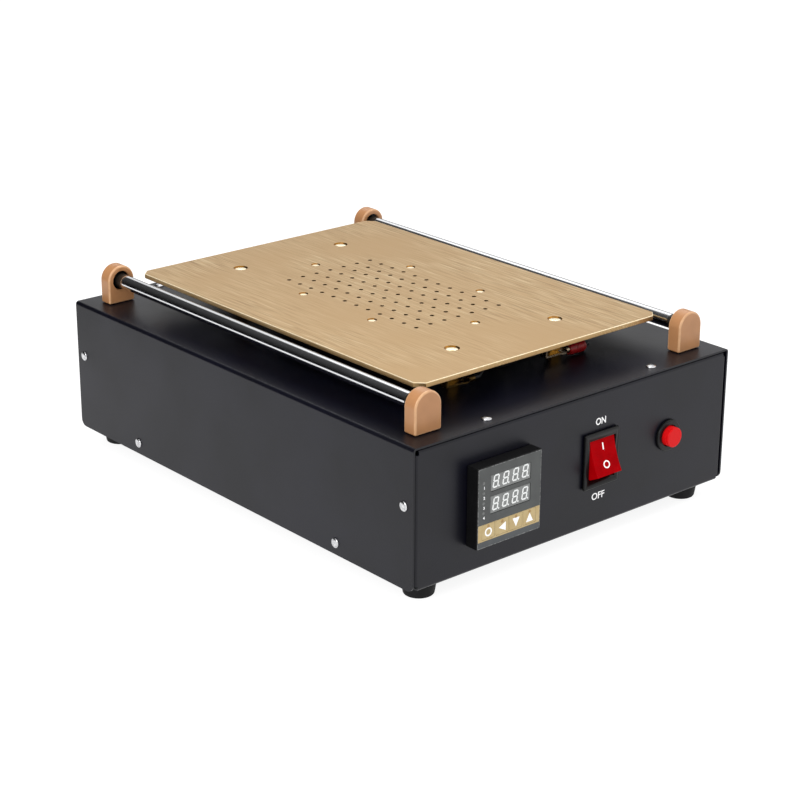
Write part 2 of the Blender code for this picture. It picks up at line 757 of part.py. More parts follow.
def build_feet():
    """Four tapered rubber feet, each with a sunk seat for its screw."""
    sole = -FOOT_HEIGHT
    profile = [(FOOT_TOP_RADIUS, -SEAT_GAP)]
    profile += arc((FOOT_SOLE_RADIUS - FOOT_EDGE_RADIUS, sole + FOOT_EDGE_RADIUS), FOOT_EDGE_RADIUS, 0, -90, 2)
    profile += [
        (FOOT_RECESS_RADIUS, sole),
        (FOOT_RECESS_RADIUS, sole + FOOT_RECESS_DEPTH),
        (FOOT_SCREW_RADIUS, sole + FOOT_RECESS_DEPTH),
        (FOOT_SCREW_RADIUS, -SEAT_GAP),
    ]
    for sign_x, sign_y, corner in corner_signs():
        place = (sign_x * (BODY_WIDTH / 2 - FOOT_INSET_X), sign_y * (BODY_DEPTH / 2 - FOOT_INSET_Y), 0)
        turned_object("foot_" + corner, profile, RUBBER, place, steps=18, closed=True)


# Guide rods


def build_rail_blocks():
    """Four arched blocks, each with a blind bearing pocket in its inner face."""
    half = BLOCK_WIDTH / 2
    rise = BLOCK_HEIGHT - half
    outline = [(-half, 0.0), (half, 0.0)] + arc((0.0, rise), half, 0, 180, 12)
    for sign_x, sign_y, corner in corner_signs():
        name = "rail_block_" + corner
        mesh = outline_mesh(name, outline, BLOCK_THICKNESS, start=-BLOCK_THICKNESS / 2)
        middle = sign_y * (BLOCK_OUTER_Y - BLOCK_THICKNESS / 2)
        block = add_object(name, mesh, TAN_PLASTIC, (sign_x * BLOCK_X, middle, BLOCK_FOOT), TO_FRONT)
        bevel(block, BLOCK_EDGE_RADIUS, segments=2)
        pocket = round_mesh("pocket_" + corner, POCKET_RADIUS, 2 * POCKET_DEPTH, -POCKET_DEPTH)
        place = (sign_x * BLOCK_X, sign_y * BLOCK_INNER_Y, ROD_Z)
        cut(block, add_helper("pocket_" + corner, pocket, place, TO_REAR))


def build_rail_bearings():
    """Shielded ball bearings in the blocks' pockets."""
    outer = POCKET_RADIUS - SEAT_GAP
    inner = ROD_RADIUS + RUNNING_GAP
    shield = BEARING_SHIELD_DEPTH
    profile = [
        (outer, BEARING_WIDTH),
        (outer, 0.0),
        (outer - BEARING_RACE, 0.0),
        (outer - BEARING_RACE, shield),
        (inner + BEARING_RACE / 2, shield),
        (inner + BEARING_RACE / 2, 0.0),
        (inner, 0.0),
        (inner, BEARING_WIDTH),
    ]
    for sign_x, sign_y, corner in corner_signs():
        place = (sign_x * BLOCK_X, sign_y * (BLOCK_INNER_Y + BEARING_INSET), ROD_Z)
        turn = TO_REAR if sign_y > 0 else TO_FRONT
        turned_object("rail_bearing_" + corner, profile, STEEL, place, turn, steps=18, closed=True)


def build_rail_rods():
    """Two ground rods that turn in their bearings."""
    half = BLOCK_INNER_Y + POCKET_DEPTH - ROD_END_PLAY
    tip = ROD_RADIUS - ROD_CHAMFER
    profile = [
        (0.0, half),
        (tip, half),
        (ROD_RADIUS, half - ROD_CHAMFER),
        (ROD_RADIUS, ROD_CHAMFER - half),
        (tip, -half),
        (0.0, -half),
    ]
    for sign_x, side in ((-1, "left"), (1, "right")):
        turned_object("rail_rod_" + side, profile, CHROME, (sign_x * BLOCK_X, 0, ROD_Z), TO_REAR)


# Heating plate and what hangs under it


def chamber_screws():
    """Places of the six small screws that hold the suction chamber."""
    side_x, side_y = CHAMBER_SCREW_SIDE_X, CHAMBER_SCREW_SIDE_Y
    ends = [(0.0, -CHAMBER_SCREW_END_Y), (0.0, CHAMBER_SCREW_END_Y)]
    return ends + [(-side_x, -side_y), (side_x, -side_y), (-side_x, side_y), (side_x, side_y)]


def countersink_cutter(name, head, shank, place):
    """Cutter for a 90 degree countersink with its clearance hole."""
    depth = PLATE_THICKNESS + SEAT_GAP
    lift = SEAT_GAP
    profile = [
        (0.0, lift),
        (head + lift, lift),
        (head + lift, 0.0),
        (shank, shank - head - lift),
        (shank, -depth),
        (0.0, -depth),
    ]
    return turned_helper(name, profile, (*place, PLATE_TOP))


def build_heating_plate():
    """Anodised plate with chamfered corners, suction holes and countersunk screw holes."""
    outline = rectangle(PLATE_WIDTH / 2, PLATE_LENGTH / 2, PLATE_CORNER)
    mesh = outline_mesh("heating_plate", outline, PLATE_THICKNESS)
    plate = add_object("heating_plate", mesh, GOLD_ANODISED, (0, 0, PLATE_UNDERSIDE))
    bevel(plate, PLATE_EDGE, segments=1)
    drill = round_mesh("suction_holes", SUCTION_HOLE_RADIUS, 3 * PLATE_THICKNESS, -PLATE_THICKNESS, 8)
    start_x = -(SUCTION_COLUMNS - 1) * SUCTION_PITCH / 2
    start_y = -(SUCTION_ROWS - 1) * SUCTION_PITCH / 2
    holes = add_helper("suction_holes", drill, (start_x, start_y, PLATE_UNDERSIDE))
    repeat(holes, SUCTION_COLUMNS, (SUCTION_PITCH, 0, 0))
    repeat(holes, SUCTION_ROWS, (0, SUCTION_PITCH, 0))
    cut(plate, holes)
    for number, place in enumerate(chamber_screws()):
        name = f"chamber_screw_hole_{number}"
        shank = CHAMBER_SCREW_RADIUS + SEAT_GAP
        cut(plate, countersink_cutter(name, CHAMBER_SCREW_HEAD_RADIUS, shank, place))
    for sign_x, sign_y, corner in corner_signs():
        place = (sign_x * PLATE_SCREW_X, sign_y * PLATE_SCREW_Y)
        shank = PLATE_SCREW_RADIUS + SEAT_GAP
        cut(plate, countersink_cutter("plate_screw_hole_" + corner, PLATE_SCREW_HEAD_RADIUS, shank, place))


def build_plate_screws():
    """Four countersunk brass screws that hold the plate on its standoffs."""
    head, shank = PLATE_SCREW_HEAD_RADIUS, PLATE_SCREW_RADIUS
    profile = [
        (0.0, 0.0),
        (head, 0.0),
        (head, -SEAT_GAP),
        (shank, shank - head - SEAT_GAP),
        (shank, SEAT_GAP - PLATE_SCREW_LENGTH),
        (shank - SEAT_GAP, -PLATE_SCREW_LENGTH),
        (0.0, -PLATE_SCREW_LENGTH),
    ]
    depth = PLATE_SCREW_SOCKET_DEPTH
    for sign_x, sign_y, corner in corner_signs():
        place = (sign_x * PLATE_SCREW_X, sign_y * PLATE_SCREW_Y, PLATE_TOP)
        screw = turned_object("plate_screw_" + corner, profile, BRASS, place, steps=SMALL_STEPS)
        socket = round_mesh("socket_" + corner, PLATE_SCREW_SOCKET_RADIUS, 2 * depth, -depth, 6)
        cut(screw, add_helper("socket_" + corner, socket, place))


def build_standoffs():
    """Hexagonal pillars between the cover and the plate, each with a stud through the cover."""
    foot = COVER_TOP + SEAT_GAP
    height = PLATE_UNDERSIDE - SEAT_GAP - foot
    across_corners = STANDOFF_FLAT_RADIUS / cos(pi / 6)
    bore = PLATE_SCREW_RADIUS + SEAT_GAP
    for sign_x, sign_y, corner in corner_signs():
        place = (sign_x * PLATE_SCREW_X, sign_y * PLATE_SCREW_Y, foot)
        name = "plate_standoff_" + corner
        pillar = add_object(name, round_mesh(name, across_corners, height, steps=6), BRASS, place)
        stud = round_mesh(
            "stud_" + corner,
            PLATE_SCREW_RADIUS,
            STANDOFF_STUD_LENGTH + EMBED,
            -STANDOFF_STUD_LENGTH,
            SMALL_STEPS,
        )
        join(pillar, add_helper("stud_" + corner, stud, place))
        drill = round_mesh("bore_" + corner, bore, 2 * STANDOFF_BORE_DEPTH, height - STANDOFF_BORE_DEPTH, SMALL_STEPS)
        cut(pillar, add_helper("bore_" + corner, drill, place))


def build_heater():
    """Flat heating element round the chamber and the steel plate that backs it."""
    inner = rectangle(CHAMBER_RIM_X + HEATER_CHAMBER_GAP, CHAMBER_RIM_Y + HEATER_CHAMBER_GAP)
    holes = [inner, circle((0.0, PROBE_Y), PROBE_RADIUS + SEAT_GAP, SMALL_STEPS)]
    for sign_x, sign_y, _ in corner_signs():
        centre = (sign_x * PLATE_SCREW_X, sign_y * PLATE_SCREW_Y)
        holes.append(circle(centre, HEATER_STANDOFF_HOLE_RADIUS, SMALL_STEPS))
    outline = rectangle(HEATER_HALF_X, HEATER_HALF_Y, PLATE_CORNER)
    element = outline_mesh("heater_element", outline, HEATER_THICKNESS, holes)
    add_object("heater_element", element, MICA, (0, 0, HEATER_TOP - HEATER_THICKNESS))
    backing = outline_mesh("heater_backing_plate", outline, HEATER_BACKING_THICKNESS, holes)
    place = (0, 0, HEATER_BACKING_TOP - HEATER_BACKING_THICKNESS)
    add_object("heater_backing_plate", backing, STEEL, place)


def build_suction_chamber():
    """Pressed pan under the suction holes, with its gasket."""
    half_x, half_y = CHAMBER_HALF_X, CHAMBER_HALF_Y
    pan = [Vector((x, y, 0)) for x, y in rectangle(half_x, half_y)]
    rim = [Vector((x, y, 0)) for x, y in rectangle(CHAMBER_RIM_X, CHAMBER_RIM_Y)]
    drop = Vector((0, 0, -CHAMBER_DEPTH))
    shape = bmesh.new()
    panel(shape, [corner + drop for corner in pan])
    for i in range(4):
        following = (i + 1) % 4
        panel(shape, [pan[i], pan[following], pan[following] + drop, pan[i] + drop])
        panel(shape, [rim[i], rim[following], pan[following], pan[i]])
    bmesh.ops.remove_doubles(shape, verts=shape.verts, dist=WELD_DISTANCE)
    bmesh.ops.recalc_face_normals(shape, faces=shape.faces)
    rim_faces = [face for face in shape.faces if abs(face.calc_center_median().z) < SEAT_GAP]
    if rim_faces[0].normal.z < 0:
        bmesh.ops.reverse_faces(shape, faces=shape.faces)
    mesh = finish_mesh("suction_chamber", shape)
    chamber = add_object("suction_chamber", mesh, ALUMINIUM, (0, 0, CHAMBER_RIM_TOP))
    bevel(chamber, BEND_RADIUS, segments=3, angle=30.0)
    solidify(chamber, SHEET)
    port = round_mesh("chamber_port", FITTING_RADIUS + SEAT_GAP, 4 * SHEET, -2 * SHEET, SMALL_STEPS)
    cut(chamber, add_helper("chamber_port", port, (0, 0, CHAMBER_UNDERSIDE)))
    for number, (x, y) in enumerate(chamber_screws()):
        name = f"rim_hole_{number}"
        hole = round_mesh(name, CHAMBER_SCREW_RADIUS + SEAT_GAP, 4 * SHEET, -2 * SHEET, 12)
        cut(chamber, add_helper(name, hole, (x, y, CHAMBER_RIM_TOP)))

    screw_holes = [circle(place, CHAMBER_SCREW_RADIUS + SEAT_GAP, 12) for place in chamber_screws()]
    gasket = outline_mesh(
        "chamber_gasket",
        rectangle(CHAMBER_RIM_X, CHAMBER_RIM_Y),
        GASKET_THICKNESS,
        [rectangle(half_x, half_y), *screw_holes],
    )
    add_object("chamber_gasket", gasket, SILICONE, (0, 0, CHAMBER_RIM_TOP + SEAT_GAP))


def build_suction_fitting():
    """Barbed fitting screwed through the chamber's floor, which takes the suction hose."""
    radius, bore = FITTING_RADIUS, FITTING_BORE_RADIUS
    collar_top = -SEAT_GAP
    collar_foot = collar_top - FITTING_COLLAR_HEIGHT
    profile = [
        (radius, SHEET + FITTING_COLLAR_HEIGHT),
        (radius, collar_top),
        (FITTING_COLLAR_RADIUS, collar_top),
        (FITTING_COLLAR_RADIUS, collar_foot),
        (radius - BARB_RISE, collar_foot),
    ]
    barb_top = -FITTING_DROP + BARB_COUNT * BARB_PITCH
    for number in range(BARB_COUNT):
        top = barb_top - number * BARB_PITCH
        profile += [(radius - BARB_RISE, top), (radius, top), (radius - BARB_RISE, top - BARB_PITCH)]
    profile += [(bore, -FITTING_DROP), (bore, SHEET + FITTING_COLLAR_HEIGHT)]
    place = (0, 0, CHAMBER_UNDERSIDE)
    turned_object("suction_fitting", profile, BRASS, place, steps=20, closed=True)


def build_grommet(name, hole_radius, place):
    """Rubber ring whose groove grips the edge of a hole in the cover."""
    lip = hole_radius + GROMMET_LIP
    groove = hole_radius - SEAT_GAP
    bore = groove - GROMMET_WALL
    top, foot = SEAT_GAP, -SHEET - SEAT_GAP
    profile = [
        (bore, top + GROMMET_LIP_HEIGHT),
        (lip, top + GROMMET_LIP_HEIGHT / 2),
        (lip, top),
        (groove, top),
        (groove, foot),
        (lip, foot),
        (lip, foot - GROMMET_LIP_HEIGHT / 2),
        (bore, foot - GROMMET_LIP_HEIGHT),
    ]
    turned_object(name, profile, RUBBER, place, steps=20, closed=True)


def build_thermocouple():
    """Probe that stands in the heater with its tip against the plate."""
    place = (0, PROBE_Y, HEATER_TOP)
    profile = [(0.0, 0.0), (PROBE_RADIUS, 0.0), (PROBE_RADIUS, -PROBE_LENGTH), (0.0, -PROBE_LENGTH)]
    turned_object("thermocouple_probe", profile, STEEL, place, steps=SMALL_STEPS)
    start = Vector((0, PROBE_Y, HEATER_TOP - PROBE_LENGTH - SEAT_GAP))
    mouth = Vector((0, LEAD_HOLE_Y - LEAD_RADIUS * 2, COVER_TOP))
    case_rear = Vector((CONTROLLER_X, FRONT + CONTROLLER_DEPTH + SEAT_GAP, CONTROLLER_Z))
    stops = [
        start,
        start + Vector((0, 0, -LEAD_RADIUS)),
        mouth + Vector((0, -LEAD_RADIUS, LEAD_BEND)),
        mouth,
        mouth + Vector((0, 0, -2)) * LEAD_BEND,
        mouth + Vector((-2, -1, -6)) * LEAD_BEND,
        case_rear + Vector((6, 5, 1)) * LEAD_BEND,
        case_rear + Vector((1, 4, 0)) * LEAD_BEND,
        case_rear + Vector((0, 1, 0)) * LEAD_BEND,
        case_rear,
    ]
    tube_object("thermocouple_lead", smooth_route(stops), LEAD_RADIUS, WHITE_CABLE)


def build_lead_terminals():
    """Terminals that hang from the heater in front of the standoffs, and the leads crimped to them."""
    radius, half, thickness = TERMINAL_RING_RADIUS, TERMINAL_HALF_WIDTH, TERMINAL_THICKNESS
    shoulder = degrees(asin(half / radius))
    outline = [(-TERMINAL_LENGTH, -half)]
    outline += arc((0.0, 0.0), radius, shoulder - 180, 180 - shoulder, 16)
    outline += [(-TERMINAL_LENGTH, half)]
    backing_underside = HEATER_BACKING_TOP - HEATER_BACKING_THICKNESS
    leg_height = backing_underside - SEAT_GAP - TERMINAL_Z
    leg_size = (thickness, 2 * half - EMBED, leg_height)
    sleeve_start = radius + CRIMP_LENGTH / 2
    middle = SLEEVE_LENGTH / 2
    sleeve_profile = [
        (0.0, SLEEVE_LENGTH),
        (SLEEVE_RADIUS * 0.8, SLEEVE_LENGTH),
        (SLEEVE_RADIUS, middle + 2 * SLEEVE_GROOVE),
        (SLEEVE_RADIUS - SLEEVE_GROOVE, middle),
        (SLEEVE_RADIUS, middle - 2 * SLEEVE_GROOVE),
        (SLEEVE_RADIUS * 0.9, 0.0),
        (0.0, 0.0),
    ]
    for side, ring_x in (("left", TERMINAL_LEFT_X), ("right", TERMINAL_RIGHT_X)):
        place = Vector((ring_x, TERMINAL_Y, TERMINAL_Z))
        name = "heater_terminal_" + side
        hole = circle((0.0, 0.0), TERMINAL_HOLE_RADIUS, 12)
        terminal = add_object(name, outline_mesh(name, outline, thickness, [hole]), BRASS, place)
        leg = box_mesh("leg_" + side, leg_size, (-TERMINAL_LENGTH, 0, leg_height / 2))
        join(terminal, add_helper("leg_" + side, leg, place))
        axis = place + Vector((0, 0, thickness / 2))
        crimp = round_mesh("crimp_" + side, CRIMP_RADIUS, CRIMP_LENGTH + EMBED, radius - EMBED, 12)
        join(terminal, add_helper("crimp_" + side, crimp, axis, TO_RIGHT))
        crimp_end = radius + CRIMP_LENGTH
        if side == "right":
            sleeve_place = axis + Vector((sleeve_start, 0, 0))
            join(terminal, turned_helper("sleeve", sleeve_profile, sleeve_place, TO_RIGHT))
            crimp_end = sleeve_start + SLEEVE_LENGTH
        leave = axis + Vector((crimp_end + SEAT_GAP, 0, 0))
        tube_object("heater_lead_" + side, smooth_route(lead_stops(leave, side)), LEAD_RADIUS, BLACK_CABLE)


def lead_stops(leave, side):
    """Where a heater lead runs from its terminal, through the lead grommet, to the relay."""
    low = COVER_TOP + 2 * LEAD_RADIUS
    sign = -1 if side == "left" else 1
    if side == "left":
        stops = [
            leave,
            leave + Vector((LEAD_BEND, 0, 0)),
            Vector((leave.x / 2, (TERMINAL_Y + LEAD_HOLE_Y) / 2, low + LEAD_BEND / 2)),
        ]
    else:
        turn_x = leave.x + LEAD_SPARE
        stops = [
            leave,
            leave + Vector((LEAD_BEND, 0, 0)),
            Vector((turn_x, TERMINAL_Y + LEAD_SPARE + LEAD_BEND, low)),
            Vector((turn_x - 2 * LEAD_BEND, 2 * LEAD_SPARE - PLATE_SCREW_Y - LEAD_BEND, low)),
            Vector((PLATE_SCREW_X - 2 * LEAD_BEND, 2 * LEAD_SPARE - PLATE_SCREW_Y, low)),
            Vector((4 * LEAD_BEND, LEAD_HOLE_Y + LEAD_BEND, low + LEAD_BEND / 2)),
        ]
    mouth = Vector((sign * 2.35 * LEAD_RADIUS, LEAD_HOLE_Y, COVER_TOP))
    relay = Vector((RELAY_CENTRE[0] + sign * RELAY_SIZE[0] / 4, RELAY_CENTRE[1] - RELAY_SIZE[1] / 2, 0))
    relay += Vector((0, -SEAT_GAP - LEAD_RADIUS, TRAY_FLOOR + RELAY_BASE_THICKNESS + RELAY_SIZE[2] / 4))
    return stops + [
        mouth + Vector((sign * SEAT_GAP, 0, LEAD_BEND)),
        mouth + Vector((0, 0, -LEAD_BEND)),
        mouth + Vector((0, 0, -6 * LEAD_BEND)),
        relay + Vector((0, -4.5, 1.5)) * LEAD_BEND,
        relay + Vector((0, -1.5, 0)) * LEAD_BEND,
        relay,
    ]


# Suction pump and hose


def build_pump():
    """Diaphragm pump: head with two ports, its cover, the motor and the bracket between them."""
    width, depth, height = PUMP_HEAD_SIZE
    head = add_object(
        "pump_head",
        box_mesh("pump_head", PUMP_HEAD_SIZE),
        DARK_PLASTIC,
        (PUMP_X, PUMP_HEAD_Y, PUMP_Z),
    )
    bevel(head, PUMP_EDGE_RADIUS)
    port = round_mesh("pump_inlet_port", PUMP_PORT_RADIUS, PUMP_PORT_LENGTH + EMBED * 4, -EMBED * 4, 12)
    port_x = PUMP_X - width / 2
    port_z = PUMP_Z + PUMP_PORT_RAISE
    join(head, add_helper("pump_inlet_port", port, (port_x, PUMP_HEAD_Y, port_z), (0, -pi / 2, 0)))

    cover_y = PUMP_HEAD_Y - depth / 2 - SEAT_GAP - PUMP_COVER_THICKNESS
    outline = rounded_rectangle(width / 2, height / 2, 2 * PUMP_EDGE_RADIUS, 3)
    cover_mesh = outline_mesh("pump_head_cover", outline, PUMP_COVER_THICKNESS)
    cover = add_object("pump_head_cover", cover_mesh, ALUMINIUM, (PUMP_X, cover_y, PUMP_Z), TO_REAR)
    groove_depth = PUMP_COVER_THICKNESS / 4
    for number in (-1, 0, 1):
        name = f"cover_rib_gap_{number + 1}"
        size = (width * 2, height / 9, 2 * groove_depth)
        gap = add_helper(name, box_mesh(name, size), (PUMP_X, cover_y, PUMP_Z + number * height / 4), TO_REAR)
        cut(cover, gap)

    bracket_y = PUMP_HEAD_Y + depth / 2 + SEAT_GAP
    motor_y = bracket_y + BRACKET_SHEET + SEAT_GAP
    tail = MOTOR_BOSS_RADIUS
    profile = [
        (0.0, MOTOR_LENGTH + MOTOR_BOSS_LENGTH),
        (tail, MOTOR_LENGTH + MOTOR_BOSS_LENGTH),
        (tail, MOTOR_LENGTH),
        (MOTOR_RADIUS - PUMP_EDGE_RADIUS, MOTOR_LENGTH),
        (MOTOR_RADIUS, MOTOR_LENGTH - PUMP_EDGE_RADIUS),
        (MOTOR_RADIUS, 0.0),
        (MOTOR_BOSS_RADIUS, 0.0),
        (MOTOR_BOSS_RADIUS, -BRACKET_SHEET),
        (0.0, -BRACKET_SHEET),
    ]
    turned_object("pump_motor", profile, STEEL, (PUMP_X, motor_y, PUMP_Z), TO_REAR, steps=24)

    half = BRACKET_WIDTH / 2
    top = PUMP_Z + MOTOR_RADIUS + BRACKET_SHOULDER
    foot_rear = bracket_y + BRACKET_FOOT_LENGTH
    shape = bmesh.new()
    edge = [(-half, TRAY_FLOOR), (half, TRAY_FLOOR), (half, PUMP_Z)]
    edge += arc((0.0, PUMP_Z), half, 0, 180, 10)[1:]
    panel(shape, [(x, bracket_y, min(z, top)) for x, z in edge])
    panel(
        shape,
        [
            (-half, bracket_y, TRAY_FLOOR),
            (-half, foot_rear, TRAY_FLOOR),
            (half, foot_rear, TRAY_FLOOR),
            (half, bracket_y, TRAY_FLOOR),
        ],
    )
    mesh = folded_mesh("pump_bracket", shape)
    bracket = add_object("pump_bracket", mesh, STEEL, (PUMP_X, 0, 0))
    bevel(bracket, BRACKET_SHEET, segments=3)
    solidify(bracket, BRACKET_SHEET, inwards=True)
    hole = round_mesh("motor_hole", MOTOR_BOSS_RADIUS + SEAT_GAP, 6 * BRACKET_SHEET, -3 * BRACKET_SHEET)
    cut(bracket, add_helper("motor_hole", hole, (PUMP_X, bracket_y, PUMP_Z), TO_REAR))

    fitting_tip = CHAMBER_UNDERSIDE - FITTING_DROP - SEAT_GAP
    port_tip = port_x - PUMP_PORT_LENGTH - SEAT_GAP
    stops = [
        Vector((0, 0, fitting_tip)),
        Vector((0, 0, fitting_tip - 2 * HOSE_RADIUS)),
        Vector((HOSE_RADIUS, HOSE_RADIUS / 2, fitting_tip - 4.5 * HOSE_RADIUS)),
        Vector((port_tip * 0.45, PUMP_HEAD_Y * 0.55, port_z + HOSE_RADIUS / 2)),
        Vector((port_tip - 2 * HOSE_RADIUS, PUMP_HEAD_Y, port_z)),
        Vector((port_tip, PUMP_HEAD_Y, port_z)),
    ]
    tube_object("suction_hose", smooth_route(stops), HOSE_RADIUS, SILICONE)


# Electrical pieces on the tray's floor


def build_power_supply():
    """Board on four legs with its transformer, capacitors, finned heat sink and connector."""
    x, y = BOARD_X, BOARD_Y
    width, length, thickness = BOARD_SIZE
    under = TRAY_FLOOR + BOARD_LEG_HEIGHT
    top = under + thickness
    board_mesh = box_mesh("power_supply_board", BOARD_SIZE)
    board = add_object("power_supply_board", board_mesh, BOARD_GREEN, (x, y, under + thickness / 2))
    for sign_x, sign_y, corner in corner_signs():
        leg = round_mesh("board_leg_" + corner, BOARD_LEG_RADIUS, BOARD_LEG_HEIGHT + EMBED, steps=10)
        leg_x = x + sign_x * (width / 2 - BOARD_LEG_INSET)
        leg_y = y + sign_y * (length / 2 - BOARD_LEG_INSET)
        join(board, add_helper("board_leg_" + corner, leg, (leg_x, leg_y, TRAY_FLOOR)))

    def seated(name, size, offset):
        """Join a box that stands on the board at an offset from its middle."""
        centre = (x + offset[0], y + offset[1], top - EMBED + size[2] / 2)
        join(board, add_helper(name, box_mesh(name, size), centre))

    seated("transformer", TRANSFORMER_SIZE, (width / 8, 0.0))
    seated("board_connector", CONNECTOR_SIZE, (0.0, CONNECTOR_SIZE[1] - length / 2))
    sink_x = SINK_SIZE[0] / 2 + BOARD_LEG_RADIUS - width / 2
    seated("heat_sink", SINK_SIZE, (sink_x, 0.0))
    fin_size = (SINK_FIN_LENGTH, SINK_FIN_THICKNESS, SINK_SIZE[2])
    for number in range(SINK_FIN_COUNT):
        along = SINK_SIZE[1] * (number / (SINK_FIN_COUNT - 1) - 0.5) * 0.9
        seated(f"fin_{number}", fin_size, (sink_x + SINK_FIN_LENGTH / 2, along))
    for number in (0, 1):
        name = f"capacitor_{number}"
        can = round_mesh(name, CAPACITOR_RADIUS, CAPACITOR_HEIGHT, -EMBED, SMALL_STEPS)
        can_x = x + CAPACITOR_RADIUS * (2.4 * number - 0.4)
        can_y = y + length / 2 - CAPACITOR_RADIUS - BOARD_LEG_INSET
        join(board, add_helper(name, can, (can_x, can_y, top)))


def build_relay():
    """Solid-state relay with stepped, barriered terminals at both ends."""
    x, y = RELAY_CENTRE
    width, length, height = RELAY_SIZE
    base_z = TRAY_FLOOR + RELAY_BASE_THICKNESS / 2
    base_size = (width, length, RELAY_BASE_THICKNESS)
    relay = add_object("solid_state_relay", box_mesh("relay", base_size), DARK_PLASTIC, (x, y, base_z))
    body_z = TRAY_FLOOR + RELAY_BASE_THICKNESS + height / 2 - EMBED
    body = add_helper("relay_body", box_mesh("relay_body", (width - EMBED, length - EMBED, height)), (x, y, body_z))
    join(relay, body)
    well_z = body_z + height / 2
    well_width = (width - 3 * RELAY_BARRIER_WIDTH) / 2
    for sign_x, sign_y, corner in corner_signs():
        name = "relay_well_" + corner
        size = (well_width, 2 * RELAY_STEP_LENGTH, 2 * RELAY_STEP_HEIGHT)
        place = (x + sign_x * (well_width + RELAY_BARRIER_WIDTH) / 2, y + sign_y * length / 2, well_z)
        cut(relay, add_helper(name, box_mesh(name, size), place))


# Temperature controller


